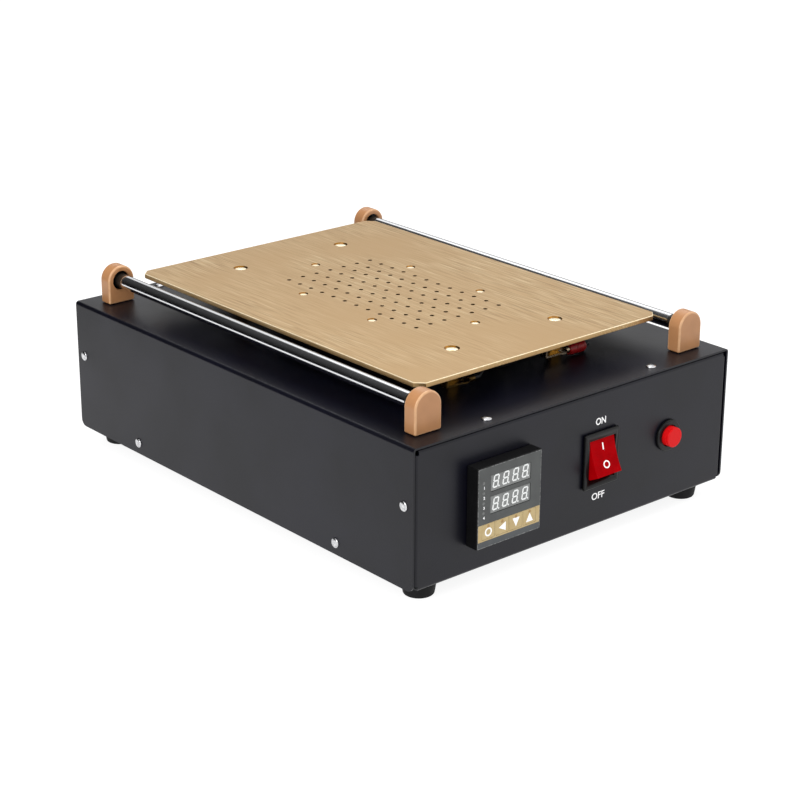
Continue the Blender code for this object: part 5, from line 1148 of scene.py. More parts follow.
@dataclass(frozen=True)
class GuideRods:
    """Two chromed rods in bearings, in four arched blocks."""

    rod_x: float = 0.1038
    rod_z: float = 0.0991
    rod_radius: float = 0.0045
    rod_half: float = 0.1489
    rod_bright_half: float = 0.1368
    rod_chamfer: float = 0.0005
    block_outer: float = 0.1519
    block_foot: float = 0.0846
    block_half: float = 0.0095
    block_height: float = 0.0240
    block_thickness: float = 0.0095
    block_edge: float = 0.0011
    pocket_radius: float = 0.0063
    pocket_depth: float = 0.0070

    def block(self) -> Object:
        """Build a block that faces the front, with its outer face at y = 0 and its foot at z = 0.

        Returns:
            The object.
        """
        rise = self.block_height - self.block_half
        half, pocket = self.block_half, self.pocket_radius
        outline = [(-half, 0.0), (half, 0.0), *arc((0.0, rise), half, 0, 180, 32)]
        mesh = slab("block_pattern", outline, self.block_thickness)
        block = make("block_pattern", mesh, TAN_PLASTIC, self.block_edge, 3, FOLDED_ANGLE)
        bore = lathe("bore", [(0.0, 0.0), (pocket, 0.0), (pocket, 0.02), (0.0, 0.02)])
        carved(block, moved(bore, Vector((0.0, self.block_thickness - self.pocket_depth, rise)), TO_REAR))
        return shaded(block, FOLDED_ANGLE)

    def pieces(self) -> Iterator[Piece]:
        """Build the blocks as one piece, the bearings and each rod.

        Returns:
            The pieces, one after the other.
        """
        spots = []
        for x, y in four_corners(self.rod_x, self.block_outer):
            spots.append(Spot(at(x, y, self.block_foot), spin=pi if y > 0 else 0.0))
        blocks = copies("rod_blocks", self.block(), spots, TAN_PLASTIC)
        # The blocks' slanted edge faces are painted paler, as a painted highlight.
        paint(blocks, TAN_EDGE_HIGHLIGHT, lambda face: 0.2 < abs(face.normal.y) < 0.97)
        yield Piece(blocks, TAN_PLASTIC, stands_for=corner_names("rail_block"))
        for node in corner_names("rail_bearing"):
            yield of_node(node, node.replace("rail_", "shielded_"), BEARING_STEEL)
        half, radius, bright, chamfer = self.rod_half, self.rod_radius, self.rod_bright_half, self.rod_chamfer
        profile = [(0.0, -half), (radius - chamfer, -half), (radius, chamfer - half), (radius, -bright)]
        profile += [(radius, bright), (radius, half - chamfer), (radius - chamfer, half), (0.0, half)]
        middle = at(0.0, 0.0, 0.0).y
        for sign, side, body in ((-1, "left", Body.ROD_LEFT), (1, "right", Body.ROD_RIGHT)):
            name = f"guide_rod_{side}"
            mesh = moved(lathe(name, profile, 64), at(sign * self.rod_x, 0.0, self.rod_z), TO_REAR)
            rod = make(name, mesh, CHROME)
            # The rods' ends beyond the bright length are painted dark, as painted shade next to the bearings.
            paint(rod, SHADED_ROD_END, lambda face: abs(face.center.y - middle) > bright)
            yield Piece(rod, CHROME, body, (f"rail_rod_{side}",))


@dataclass(frozen=True)
class HeatingPlate:
    """The perforated plate and its countersunk screws."""

    width: float = 0.190
    length: float = 0.268
    thickness: float = 0.003
    top: float = 0.1049
    corner: float = 0.005
    edge: float = 0.0004
    hole_radius: float = 0.0014
    pitch: float = 0.011
    columns: int = 7
    rows: int = 12
    large_sink: float = 0.0046
    large_inset: float = 0.0020
    large_place: Point = (0.041, 0.1005)
    small_sink: float = 0.0030
    small_inset: float = 0.0013
    small_places: tuple[Point, ...] = (
        (0.0, -0.0754),
        (0.0, 0.0754),
        (-0.0435, -0.0327),
        (0.0435, -0.0327),
        (-0.0435, 0.0327),
        (0.0435, 0.0327),
    )
    large_screw: ScrewHead = ScrewHead(0.0036, 0.0018, 0.0012, 0.0017, 0.0010, 0.0009, 0.55)
    small_screw: ScrewHead = ScrewHead(0.0023, 0.0010, 0.0007, 0.0013, 0.0006, 0.0006, 0.60)

    def plate(self) -> Object:
        """Build the plate in its place.

        Returns:
            The object.
        """
        large = four_corners(*self.large_place)
        sinks = [(x, y, self.large_sink) for x, y in large]
        sinks += [(x, y, self.small_sink) for x, y in self.small_places]
        places = [Vector((x, y, self.thickness + 0.00002 - SINK_DEPTH * head)) for x, y, head in sinks]
        points = points_mesh("perforated_plate", places, {"head": [head for _, _, head in sinks]})
        plate = add_object("perforated_plate", points)
        named = ("width", "length", "thickness", "corner", "hole_radius", "pitch", "columns", "rows")
        sizes = {name.replace("_", " ").title(): getattr(self, name) for name in named}
        grow(plate, perforated_tree(), {**sizes, "Material": GOLD_PLATE.material()})
        shape = bmesh.new()
        shape.from_mesh(plate.data)
        bpy.data.objects.remove(plate)
        bmesh.ops.remove_doubles(shape, verts=shape.verts, dist=WELD / 10)
        half_x, half_y = self.width / 2, self.length / 2
        reach = half_x + half_y - self.corner

        def outside(vertex: bmesh.types.BMVert) -> bool:
            """Tell whether a vertex lies on the plate's outer edge."""
            x, y = abs(vertex.co.x), abs(vertex.co.y)
            return max(x - half_x, y - half_y, x + y - reach) > -WELD

        rims = []
        for rim in shape.edges:
            level = abs(rim.verts[0].co.z - rim.verts[1].co.z) < WELD
            if level and all(outside(vertex) for vertex in rim.verts) and len(rim.link_faces) == 2:
                if rim.calc_face_angle(0.0) > 1.0:
                    rims.append(rim)
        bmesh.ops.bevel(shape, geom=rims, offset=self.edge, segments=3, profile=0.5, affect="EDGES")
        mesh = moved(as_mesh("perforated_plate", shape), at(0.0, 0.0, self.top - self.thickness))
        made = make("perforated_plate", mesh, GOLD_PLATE, smooth=25.0)
        middle = at(0.0, 0.0, 0.0)

        def holed(face: bpy.types.MeshPolygon) -> bool:
            """Tell whether a face lies inside the outer edge."""
            place = face.center - middle
            return abs(place.x) < half_x - self.corner - WELD and abs(place.y) < half_y - self.corner - WELD

        # The plate's sloping rim faces get a painted highlight.
        paint(made, BARE_RIM_HIGHLIGHT, lambda face: 0.2 < face.normal.z < 0.97 and not holed(face))
        # The countersinks' sloping faces get painted shade.
        paint(made, SHADED_SINK_GOLD, lambda face: 0.2 < face.normal.z < 0.97 and holed(face))
        # The holes' upright walls get painted shade.
        paint(made, SHADED_HOLE_GOLD, lambda face: abs(face.normal.z) < 0.2 and holed(face))
        return made

    def pieces(self) -> Iterator[Piece]:
        """Build the plate and its two kinds of screw.

        Returns:
            The pieces, one after the other.
        """
        yield Piece(self.plate(), GOLD_PLATE, stands_for=("heating_plate",))
        sunk = self.top - self.large_inset
        spots = [Spot(at(x, y, sunk), spin=0.4 + 7 * x + 3 * y) for x, y in four_corners(*self.large_place)]
        head = self.large_screw.build("large_head", PALE_BRASS)
        large = copies("plate_screws", head, spots, PALE_BRASS)
        yield Piece(large, PALE_BRASS, stands_for=corner_names("plate_screw"))
        sunk = self.top - self.small_inset
        spots = [Spot(at(x, y, sunk), spin=9 * x + 5 * y) for x, y in self.small_places]
        head = self.small_screw.build("small_head", PALE_BRASS)
        yield Piece(copies("chamber_screws", head, spots, PALE_BRASS), PALE_BRASS)


@dataclass(frozen=True)
class Underside:
    """What hangs under the plate: heater, chamber, standoffs, terminals and leads."""

    sleeve_start: Place = (0.0412, -0.112, 0.0888)
    sleeve_radius: float = 0.0038
    sleeve_length: float = 0.0124
    sleeve_groove: float = 0.0006

    def sleeve(self) -> Object:
        """Build the red sleeve over the right terminal.

        Returns:
            The object.
        """
        radius, length, groove = self.sleeve_radius, self.sleeve_length, self.sleeve_groove
        middle = length / 2
        profile = [(0.0, -0.0002), (radius * 0.80, -0.0002), (radius * 0.92, 0.0004)]
        for step in range(9):
            along = middle + (step - 4) * groove
            profile.append((radius - groove * 0.5 * (step % 2), along))
        profile += [(radius * 0.98, length - 0.0012), (radius * 0.84, length), (0.0, length)]
        mesh = moved(lathe("red_sleeve", profile, 32), at(*self.sleeve_start), TO_RIGHT)
        return make("red_sleeve", mesh, SLEEVE_RED)

    def pieces(self) -> Iterator[Piece]:
        """Dress the CAD nodes, refine the round ones and build the sleeve.

        Returns:
            The pieces, one after the other.
        """
        dress(["heater_element"], MICA)
        dress(["heater_backing_plate", "thermocouple_probe"], ZINC)
        dress(["chamber_gasket"], SILICONE)
        dress(corner_names("plate_standoff"), BRASS)
        round_nodes = {
            "suction_chamber": ALUMINIUM,
            "suction_fitting": BRASS,
            "hose_grommet": RUBBER,
            "lead_grommet": RUBBER,
            "suction_hose": SILICONE,
            "thermocouple_lead": GLASS_BRAID,
            "heater_lead_left": VINYL_SHEATH,
            "heater_lead_right": VINYL_SHEATH,
            # The two terminals are the same brass, painted as shaded on the left and as lit on the right.
            "heater_terminal_left": SHADED_TERMINAL_BRASS,
            "heater_terminal_right": LIT_TERMINAL_BRASS,
        }
        for node, finish in round_nodes.items():
            yield of_node(node, node + "_smooth", finish, smooth=ROUND_ANGLE)
        yield Piece(self.sleeve(), SLEEVE_RED)


@dataclass(frozen=True)
class Digit:
    """A slanted seven-segment digit with its point.

    Attributes:
        width: Width between the middles of the upright segments.
        height: Height between the middles of the top and bottom segments.
        stroke: Width of a segment.
        gap: Gap between neighbouring segments.
        slant: How far the top leans right for each unit of height.
        point: Radius of the decimal point.
    """

    width: float = 0.0034
    height: float = 0.0068
    stroke: float = 0.00090
    gap: float = 0.00012
    slant: float = 0.16
    point: float = 0.00055

    def segment(self, start: Point, end: Point) -> list[Point]:
        """List a segment's six corners.

        Args:
            start: Where its middle line starts.
            end: Where its middle line ends.

        Returns:
            The corners as (x, z).
        """
        length = hypot(end[0] - start[0], end[1] - start[1])
        along = ((end[0] - start[0]) / length, (end[1] - start[1]) / length)
        across = (-along[1], along[0])
        half = self.stroke / 2
        corners = []
        sides = ((half, -1), (length - half, -1), (length, 0), (length - half, 1), (half, 1))
        for distance, side in ((0, 0), *sides):
            step = min(max(distance, self.gap), length - self.gap)
            x = start[0] + along[0] * step + across[0] * side * half
            z = start[1] + along[1] * step + across[1] * side * half
            corners.append((x + self.slant * z, z))
        return corners

    def mesh(self, thickness: float) -> Mesh:
        """Build the digit 8 with its point, centred on the origin and facing the front.

        Args:
            thickness: How far it stands up.

        Returns:
            The mesh.
        """
        x, z = self.width / 2, self.height / 2
        nodes = {"a": (-x, z), "b": (x, z), "c": (-x, 0.0), "d": (x, 0.0), "e": (-x, -z), "f": (x, -z)}
        pairs = ("ab", "ca", "db", "cd", "ec", "fd", "ef")
        slabs = [slab("segment", self.segment(nodes[a], nodes[b]), thickness) for a, b in pairs]
        centre = (x + self.stroke * 1.15 - self.slant * z, -z)
        slabs.append(slab("point", arc(centre, self.point, 0, 324, 9), thickness))
        return merged("digit", slabs)


@dataclass(frozen=True)
class Key:
    """A key of the instrument: its name in the record, its body and the mark printed on it."""

    name: str
    body: Body
    mark: tuple[Point, ...] = ()


@dataclass(frozen=True)
class Controller:
    """The panel instrument with its display, overlay and keys."""

    centre: Place = (-0.0626, -0.17306, 0.0412)
    overlay_half: float = 0.0236
    overlay: float = 0.00016
    lens_front: float = -0.1728
    window_half: float = 0.0151
    window_halves: Point = (0.0049, 0.0053)
    window_shift: float = 0.0007
    window_rows: Point = (0.0133, 0.0005)
    digit: Digit = Digit()
    digit_pitch: float = 0.0073
    digit_rises: Point = (0.0006, 0.0001)
    lamp_x: float = -0.0196
    lamp_rows: Point = (0.0148, 0.0059)
    lamp_radius: float = 0.0009
    key_pitch: float = 0.0104
    key_row: float = -0.0144
    key_half: Point = (0.0047, 0.0044)
    key_front: float = -0.17312
    key_depth: float = 0.0028
    edge_line: float = 0.00035
    strip_top: float = -0.00975
    strip_foot: float = -0.01975
    mark: float = 0.0026
    film: float = 0.00008
    key_corner: float = 0.0006
    dimple: tuple[Point, ...] = ((0.0, 0.00022), (0.0005, 0.00018), (0.0009, 0.00008), (0.0010, 0.0), (0.0, 0.0))
    dimple_rise: float = 0.0030
    digits: int = 4
    lamps: int = 4
    numeral: float = 0.0017
    keys: tuple[Key, ...] = (
        Key("set", Body.KEY_SET),
        Key("shift", Body.KEY_SHIFT, ((1.0, 1.0), (-1.0, 0.0), (1.0, -1.0))),
        Key("down", Body.KEY_DOWN, ((-1.0, 1.0), (0.0, -1.0), (1.0, 1.0))),
        Key("up", Body.KEY_UP, ((-1.0, -1.0), (1.0, -1.0), (0.0, 1.0))),
    )

    def on_face(self, x: float, z: float, lift: float = 0.0) -> Vector:
        """Give a place on the overlay's front, from its middle."""
        return at(self.centre[0] + x, self.centre[1] - lift, self.centre[2] + z)

    def key_x(self, number: int) -> float:
        """Give a key's distance to the right of the middle."""
        return (number - (len(self.keys) - 1) / 2) * self.key_pitch

    def printed(
        self, name: str, outline: Sequence[Point], holes: Sequence[Sequence[Point]], finish: Finish, lift: float
    ) -> Piece:
        """Build a thin printed film with openings, whose front stands by a lift before the overlay's."""
        mesh = slab(name, outline, self.overlay, holes)
        return of_mesh(name, moved(mesh, self.on_face(0.0, 0.0, lift)), finish)

    def display(self) -> Iterator[Piece]:
        """Build both rows of digits, the column of unlit lamps and their numerals.

        Returns:
            The pieces, one after the other.
        """
        for name, row, rise in zip(("upper", "lower"), self.window_rows, self.digit_rises):
            digits = repeated(self.digit.mesh(self.film), (self.digits, 1), self.digit_pitch, SEGMENT)
            lift = self.centre[1] - self.lens_front + self.film * 0.75
            moved(digits, self.on_face(self.window_shift, row + rise, lift))
            yield of_mesh(f"digits_{name}_lit", digits, SEGMENT)
        profile = [(0.0, self.film), (self.lamp_radius * 0.8, self.film), (self.lamp_radius, 0.0), (0.0, 0.0)]
        lamp = moved(lathe("lamp", profile, 16), Vector(), TO_FRONT)
        top, pitch = self.lamp_rows
        lamps = repeated(lamp, (1, self.lamps), pitch, UNLIT_LAMP)
        moved(lamps, self.on_face(self.lamp_x, top - (self.lamps - 1) / 2 * pitch, 0.00002))
        yield of_mesh("indicator_lamps", lamps, UNLIT_LAMP)
        for number in range(self.lamps):
            mesh = lettering("numeral", str(number + 1), self.numeral, self.film, 0.02)
            moved(mesh, self.on_face(self.lamp_x + 0.0004, top - (number + 0.47) * pitch, self.film / 2))
            yield of_mesh(f"lamp_numeral_{number + 1}", mesh, WHITE_INK)

    def key_pieces(self) -> Iterator[Piece]:
        """Build each key with its mark and its dimple.

        Returns:
            The pieces, one after the other.
        """
        for number, key in enumerate(self.keys):
            x, z = self.centre[0] + self.key_x(number), self.centre[2] + self.key_row
            pad = slab("pad", rounded_box(*self.key_half, self.key_corner, 2), self.key_depth)
            moved(pad, at(x, self.key_front, z))
            node = f"controller_key_{key.name}"
            yield of_mesh(f"key_cap_{key.name}", pad, KEY_FILM, key.body, (node,), edge=0.0001)
            if key.mark:
                mark = slab("mark", [(a * self.mark, b * self.mark) for a, b in key.mark], self.film)
            else:
                outer, inner = (arc((0.0, 0.0), self.mark * share, 0, 350, 35) for share in (1.0, 0.66))
                mark = slab("mark", outer, self.film, [inner])
            moved(mark, at(x, self.key_front - self.film, z - 0.0004))
            yield of_mesh(f"key_mark_{key.name}", mark, WHITE_INK, key.body)
            place = at(x, self.key_front, z + self.dimple_rise)
            dimple = moved(lathe("dimple", self.dimple, 20), place, TO_FRONT)
            yield of_mesh(f"key_dimple_{key.name}", dimple, KEY_DIMPLE, key.body)

    def pieces(self) -> Iterator[Piece]:
        """Build the instrument's case, films, display and keys.

        Returns:
            The pieces, one after the other.
        """
        yield of_node("controller_case", "instrument_case", BLACK_PLASTIC, smooth=FOLDED_ANGLE)
        dress(["controller_fascia"], OVERLAY_FILM)
        dress(["display_lens"], DISPLAY_WINDOW)
        dress(["controller_clamp"], BLACK_PLASTIC)
        half, top, foot = self.overlay_half, self.strip_top, self.strip_foot
        opening = rounded_box(self.key_half[0] + 0.0001, self.key_half[1] + 0.0001, 0.0006, 2)
        key_holes = [[(x + self.key_x(i), z + self.key_row) for x, z in opening] for i in range(len(self.keys))]
        windows = []
        for row, tall in zip(self.window_rows, self.window_halves):
            sides = rounded_box(self.window_half, tall, 0.0003, 2)
            windows.append([(x + self.window_shift, z + row) for x, z in sides])
        square = rounded_box(half, half, 0.0005, 2)
        yield self.printed("overlay_film", square, [*windows, *key_holes], OVERLAY_FILM, 0.0)
        gold = [(-half, foot), (half, foot), (half, top), (-half, top)]
        rim = rounded_box(half - self.edge_line, half - self.edge_line, 0.0005, 2)
        # The overlay's thin rim is a painted highlight.
        yield self.printed("overlay_edge", square, [rim], OVERLAY_RIM_HIGHLIGHT, 0.00004)
        yield self.printed("gold_strip", gold, key_holes, KEY_FILM, 0.00002)
        slate = [(-half, -half), (half, -half), (half, foot), (-half, foot)]
        yield self.printed("slate_strip", slate, [], STRIP_FILM, 0.00002)
        yield from self.display()
        yield from self.key_pieces()


@dataclass(frozen=True)
class RockerSwitch:
    """The power switch: housing, red rocker and its marks."""

    pivot: Place = (0.0168, -0.1630875, 0.0423)
    throw: float = 20.0
    half_height: float = 0.01065
    rocker_edge: float = 0.0005
    crest: float = 0.00565
    dish: float = 0.0009
    on_height: float = 0.0063
    off_height: float = -0.0045
    bar_half: Point = (0.00045, 0.0021)
    ring_half: Point = (0.0025, 0.0023)
    ring_width: float = 0.00075
    film: float = 0.0001

    def on_dish(self, height: float) -> Matrix:
        """Give the place and lean of a mark on the rocker's hollow face.

        Args:
            height: How far the mark's middle lies over the rocker's, along its face.

        Returns:
            The matrix that puts a front-facing film there.
        """
        turn = radians(self.throw)
        reach = self.crest + self.dish * (height / self.half_height) ** 2 + 0.7 * self.film
        slope = 2 * self.dish * height / self.half_height**2
        x, y, z = self.pivot
        out = reach * cos(turn) - height * sin(turn)
        up = height * cos(turn) + reach * sin(turn)
        return Matrix.Translation(at(x, y - out, z + up)) @ Matrix.Rotation(slope - turn, 4, "X")

    def pieces(self) -> Iterator[Piece]:
        """Build the housing, the rocker and its two marks.

        Returns:
            The pieces, one after the other.
        """
        yield of_node("rocker_housing", "switch_housing", BLACK_PLASTIC, smooth=FOLDED_ANGLE)
        ease = {"edge": self.rocker_edge, "segments": 3, "smooth": FOLDED_ANGLE}
        yield of_node("power_rocker", "switch_rocker", ROCKER_RED, Body.ROCKER, **ease)
        bar = slab("bar", rounded_box(*self.bar_half, 0.0002, 2), self.film)
        bar.transform(self.on_dish(self.on_height))
        yield of_mesh("mark_on", bar, WHITE_INK, Body.ROCKER)
        circle = arc((0.0, 0.0), 1.0, 0, 350, 35)
        half_x, half_z = self.ring_half
        width = self.ring_width
        outer = [(x * half_x, z * half_z) for x, z in circle]
        inner = [(x * (half_x - width), z * (half_z - width)) for x, z in circle]
        ring = slab("ring", outer, self.film, [inner])
        ring.transform(self.on_dish(self.off_height))
        yield of_mesh("mark_off", ring, WHITE_INK, Body.ROCKER)


@dataclass(frozen=True)
class PushButton:
    """The suction button: ring with barrel, sliding cap and nut."""

    centre: Place = (0.074, -0.1662, 0.0418)
    ring_radius: float = 0.00975
    ring_back: float = 0.0019
    ring_edge: float = 0.0010
    barrel_radius: float = 0.0077
    barrel_end: float = 0.0252
    cap_radius: float = 0.0061
    cap_proud: float = 0.0042
    cap_back: float = 0.0078
    cap_edge: float = 0.0006
    well_gap: float = 0.0003
    well_depth: float = 0.0118

    def pieces(self) -> Iterator[Piece]:
        """Build the ring with its barrel, and the cap.

        Returns:
            The pieces, one after the other.
        """
        edge, radius = self.ring_edge, self.ring_radius
        well = self.cap_radius + self.well_gap
        barrel = self.barrel_radius
        profile = [(0.0, self.barrel_end), (barrel, self.barrel_end), (barrel, self.ring_back)]
        profile += [(radius, self.ring_back), (radius, edge)]
        profile += arc((radius - edge, edge), edge, 0, -90, 5)[1:]
        profile += [(well + 0.0004, 0.0), (well, 0.0004), (well, self.well_depth), (0.0, self.well_depth)]
        mesh = moved(lathe("button_ring", profile, 64), at(*self.centre), TO_REAR)
        yield of_mesh("button_ring", mesh, BLACK_PLASTIC, nodes=("button_housing",))
        radius, front, edge = self.cap_radius, -self.cap_proud, self.cap_edge
        profile = [(0.0, self.cap_back), (radius, self.cap_back), (radius, front + 3.4 * edge)]
        profile += [(radius - 0.0003, front + 3.1 * edge), (radius - 0.0003, front + 2.7 * edge)]
        profile += [(radius, front + 2.4 * edge), (radius, front + edge)]
        profile += arc((radius - edge, front + edge), edge, 0, -90, 5)[1:]
        profile += [(0.0, front)]
        mesh = moved(lathe("button_cap", profile, 64), at(*self.centre), TO_REAR)
        yield of_mesh("button_cap", mesh, BUTTON_RED, Body.BUTTON, ("suction_button",))
        dress(["button_nut"], BLACK_PLASTIC)


@dataclass(frozen=True)
class MainsInlet:
    """The appliance inlet in the rear panel, with bright pins and two screws."""

    centre: Place = (-0.076, 0.1669, 0.034)
    pins: tuple[Point, ...] = ((-0.007, -0.0002), (0.0, 0.0032), (0.007, -0.0002))
    pin_half: Point = (0.0011, 0.0021)
    pin_length: float = 0.0139
    pin_setback: float = 0.0019
    screw_x: float = 0.0185
    screw: ScrewHead = ScrewHead(0.0026, 0.0009, 0.0004, 0.0015, 0.0006, 0.0006)

    def pieces(self) -> Iterator[Piece]:
        """Build the housing, the pins and the screws.

        Returns:
            The pieces, one after the other.
        """
        yield of_node("mains_inlet", "inlet_housing", BLACK_PLASTIC, smooth=FOLDED_ANGLE)
        x, y, z = self.centre
        blades = []
        for pin_x, pin_z in self.pins:
            blade = slab("blade", rounded_box(*self.pin_half, 0.0005, 2), self.pin_length)
            blades.append(moved(blade, at(x + pin_x, y - self.pin_setback - self.pin_length, z + pin_z)))
        yield of_mesh("inlet_pins", merged("inlet_pins", blades), SCREW_STEEL)
        spots = [Spot(at(x + sign * self.screw_x, y, z), (0.0, 1.0, 0.0), 0.6 * sign) for sign in (-1, 1)]
        head = self.screw.build("inlet_head", SCREW_STEEL)
        yield Piece(copies("inlet_screws", head, spots, SCREW_STEEL), SCREW_STEEL)


@dataclass(frozen=True)
class Interior:
    """The pump and the electrical pieces on the tray's floor."""

    def pieces(self) -> Iterator[Piece]:
        """Dress the CAD nodes and refine the round ones.

        Returns:
            The pieces, one after the other.
        """
        dress(["pump_head", "solid_state_relay"], BLACK_PLASTIC)
        dress(["pump_head_cover"], ALUMINIUM)
        dress(["power_supply_board"], SOLDER_MASK)
        for node, finish in (("pump_motor", ZINC), ("pump_bracket", ZINC), ("mains_lead", VINYL_SHEATH)):
            yield of_node(node, node + "_smooth", finish, smooth=ROUND_ANGLE)


@dataclass(frozen=True)
class SoftBox:
    """A soft studio lamp: where it hangs, how large it is and how strong."""

    name: str
    place: Place
    size: Point
    power: float


@dataclass(frozen=True)
class Card:
    """A dark card that only bright surfaces show, as what they mirror.

    Attributes:
        name: Its name.
        corners: Its corners in the world.
        foot: Its colour at its foot.
        top: Its colour at its top.
    """

    name: str
    corners: tuple[Place, ...]
    foot: str
    top: str

def upright(start: Point, end: Point, height: float) -> tuple[Place, ...]:
    """Give the corners of an upright rectangle that stands on a line of the floor."""
    return (*start, 0.0), (*end, 0.0), (*end, height), (*start, height)


def white_light(tree: Tree, lit: float, seen: float) -> dict[str | int, Any]:
    """Give the inputs of a white light that has a strength of its own where it is seen.

    Args:
        tree: The node tree.
        lit: Its strength as a light.
        seen: Its strength where the camera sees it, straight, mirrored or through glass.

    Returns:
        Its colour and its strength, by input.
    """
    path = add_node(tree, "ShaderNodeLightPath").outputs
    either = add_node(tree, "ShaderNodeMath", {0: path["Is Camera Ray"], 1: path["Is Glossy Ray"]})
    any_ray = {0: either.outputs[0], 1: path["Is Transmission Ray"]}
    shown = add_node(tree, "ShaderNodeMath", any_ray, use_clamp=True)
    strength = add_node(tree, "ShaderNodeMapRange", {"Value": shown.outputs[0], "To Min": lit, "To Max": seen})
    return {"Color": linear("#ffffff"), "Strength": strength.outputs["Result"]}


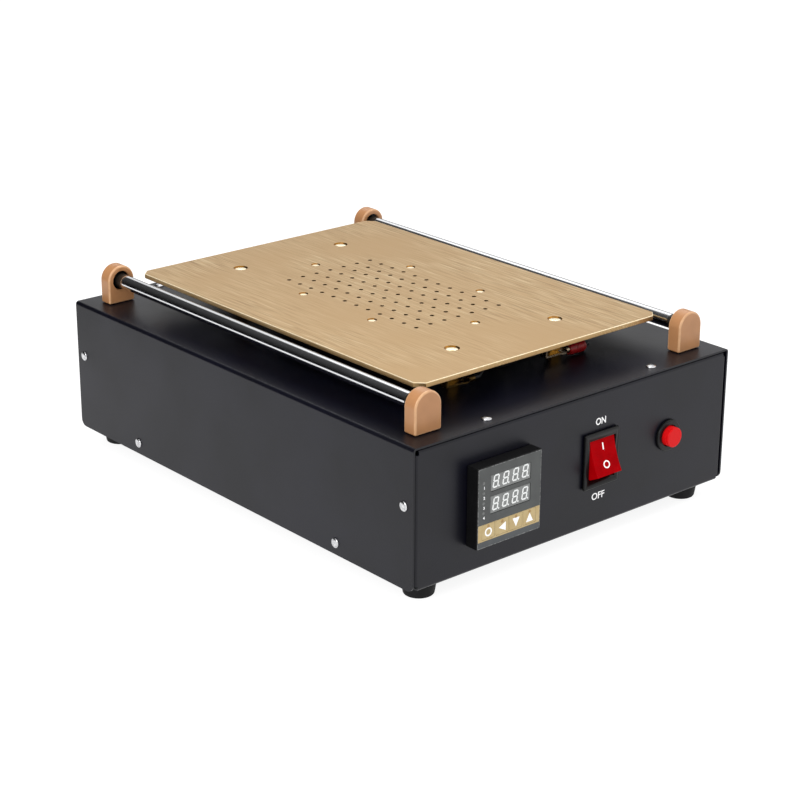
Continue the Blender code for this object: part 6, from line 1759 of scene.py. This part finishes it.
def stage_sheet(name: str, corners: Sequence[Place], material: bpy.types.Material) -> Object:
    """Set up a flat sheet that isn't part of the object.

    Args:
        name: The sheet's name.
        corners: Its corners in the world.
        material: Its material.

    Returns:
        The sheet.
    """
    mesh = bpy.data.meshes.new(name)
    mesh.from_pydata(corners, [], [tuple(range(len(corners)))])
    mesh.materials.append(material)
    sheet = add_object(name, mesh)
    sheet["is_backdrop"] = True
    return sheet
@dataclass(frozen=True)
class Studio:
    """Floor, background, lamps, cards and camera."""

    ambient: float = 0.90
    floor_half: float = 6.0
    floor_paint: str = "#949494"
    floor_glow: Point = (0.25, 0.88)
    aim: Place = (0.0, 0.0, 0.06)
    lens: float = 94.03
    camera_place: Place = (-0.79564, -0.92777, 0.50907)
    azimuth: float = -0.7114885
    elevation: float = 0.3623921
    roll: float = 0.0047108
    cards: tuple[Card, ...] = (
        Card("left_card", upright((-2.0, 0.58), (0.51, 2.02), 2.7), "#101010", "#707070"),
        Card("rear_card", upright((0.29, 2.79), (2.71, 0.70), 0.6), "#303030", "#505050"),
        Card(
            "floor_mat",
            ((-0.52, 0.0, 0.001), (-0.36, 0.60, 0.001), (-0.05, 0.95, 0.001), (-0.15, 1.6, 0.001), (-1.8, 0.6, 0.001)),
            "#141414",
            "#141414",
        ),
    )
    lamps: tuple[SoftBox, ...] = (
        SoftBox("top_softbox", (0.10, 0.22, 1.55), (1.2, 0.6), 4.8),
        SoftBox("rear_softbox", (0.79, 0.94, 1.09), (0.7, 0.4), 0.9),
        SoftBox("left_softbox", (-1.25, -0.35, 0.75), (0.8, 0.8), 8.0),
        SoftBox("front_softbox", (0.85, -0.55, 1.10), (0.8, 0.8), 1.5),
    )

    def world(self) -> None:
        """Light the scene from all round, and show plain white behind the object."""
        world = bpy.data.worlds.new("studio")
        bpy.context.scene.world = world
        world.use_nodes = True
        tree = world.node_tree
        tree.nodes.clear()
        light = add_node(tree, "ShaderNodeBackground", white_light(tree, self.ambient, 1.0))
        add_node(tree, "ShaderNodeOutputWorld", {"Surface": light.outputs[0]})

    def floor(self) -> None:
        """Lay a pale floor that shows white to the camera and keeps the object's shadow."""
        made = bpy.data.materials.new("pale_floor")
        made.use_nodes = True
        tree = made.node_tree
        tree.nodes.clear()
        matt = add_node(tree, "ShaderNodeBsdfDiffuse", {"Color": linear(self.floor_paint)})
        glow = add_node(tree, "ShaderNodeEmission", white_light(tree, *self.floor_glow))
        surface = add_node(tree, "ShaderNodeAddShader", {0: matt.outputs[0], 1: glow.outputs[0]})
        add_node(tree, "ShaderNodeOutputMaterial", {"Surface": surface.outputs[0]})
        half = self.floor_half
        stage_sheet("floor", [(-half, -half, 0), (half, -half, 0), (half, half, 0), (-half, half, 0)], made)

    def set_cards(self) -> None:
        """Set the cards in their places, each shaded from its foot's colour to its top's."""
        for card in self.cards:
            made = bpy.data.materials.new(card.name)
            made.use_nodes = True
            tree = made.node_tree
            shader = tree.nodes["Principled BSDF"]
            shader.inputs["Roughness"].default_value = 0.9
            shader.inputs["Specular IOR Level"].default_value = 0.0
            place = add_node(tree, "ShaderNodeTexCoord").outputs["Object"]
            height = add_node(tree, "ShaderNodeSeparateXYZ", {"Vector": place}).outputs["Z"]
            tall = max(corner[2] for corner in card.corners)
            share = add_node(tree, "ShaderNodeMapRange", {"Value": height, "From Max": tall})
            blend = {"Factor": share.outputs["Result"], 6: linear(card.foot), 7: linear(card.top)}
            colour = add_node(tree, "ShaderNodeMix", blend, data_type="RGBA")
            tree.links.new(colour.outputs[2], shader.inputs["Base Color"])
            stage_sheet(card.name, card.corners, made).visible_camera = False

    def hang_lamps(self) -> None:
        """Hang the soft boxes, each turned to the machine's middle."""
        for box in self.lamps:
            light = bpy.data.lights.new(box.name, "AREA")
            light.shape = "RECTANGLE"
            light.size, light.size_y = box.size
            light.energy = box.power
            lamp = add_object(box.name, light)
            place = Vector(box.place)
            turn = (Vector(self.aim) - place).to_track_quat("-Z", "Y")
            lamp.matrix_world = Matrix.Translation(place) @ turn.to_matrix().to_4x4()

    def camera(self) -> None:
        """Set up the camera as the photograph was taken."""
        a, e = self.azimuth, self.elevation
        back = Vector((sin(a) * cos(e), -cos(a) * cos(e), sin(e)))
        right = (-back).cross(Vector((0.0, 0.0, 1.0))).normalized()
        up = right.cross(-back)
        c, s = cos(self.roll), sin(self.roll)
        axes = Matrix((c * right + s * up, c * up - s * right, back)).transposed()
        data = bpy.data.cameras.new("photograph")
        data.lens = self.lens
        data.sensor_width = 36.0
        data.sensor_fit = "HORIZONTAL"
        camera = add_object("photograph", data)
        camera.matrix_world = Matrix.Translation(Vector(self.camera_place)) @ axes.to_4x4()
        bpy.context.scene.camera = camera

    def build(self) -> None:
        """Build the studio."""
        bpy.context.scene.view_settings.view_transform = "Standard"
        self.world()
        self.floor()
        self.set_cards()
        self.hang_lamps()
        self.camera()


def main() -> None:
    """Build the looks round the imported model, one sub-assembly after the other."""
    logging.basicConfig(level=logging.INFO, format="%(name)s: %(message)s")
    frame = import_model()
    NODES.update(frame["nodes"])
    cad_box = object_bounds()
    Studio().build()
    assemblies = (Cabinet, Feet, GuideRods, HeatingPlate, Underside)
    assemblies += (Controller, RockerSwitch, PushButton, MainsInlet, Interior)
    for assembly in assemblies:
        LOG.info("building %s", assembly.__name__)
        for piece in assembly().pieces():
            piece.hand_over()
    sizes = [[[float(side) for side in corner] for corner in box] for box in (cad_box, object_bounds())]


if __name__ == "__main__":
    main()
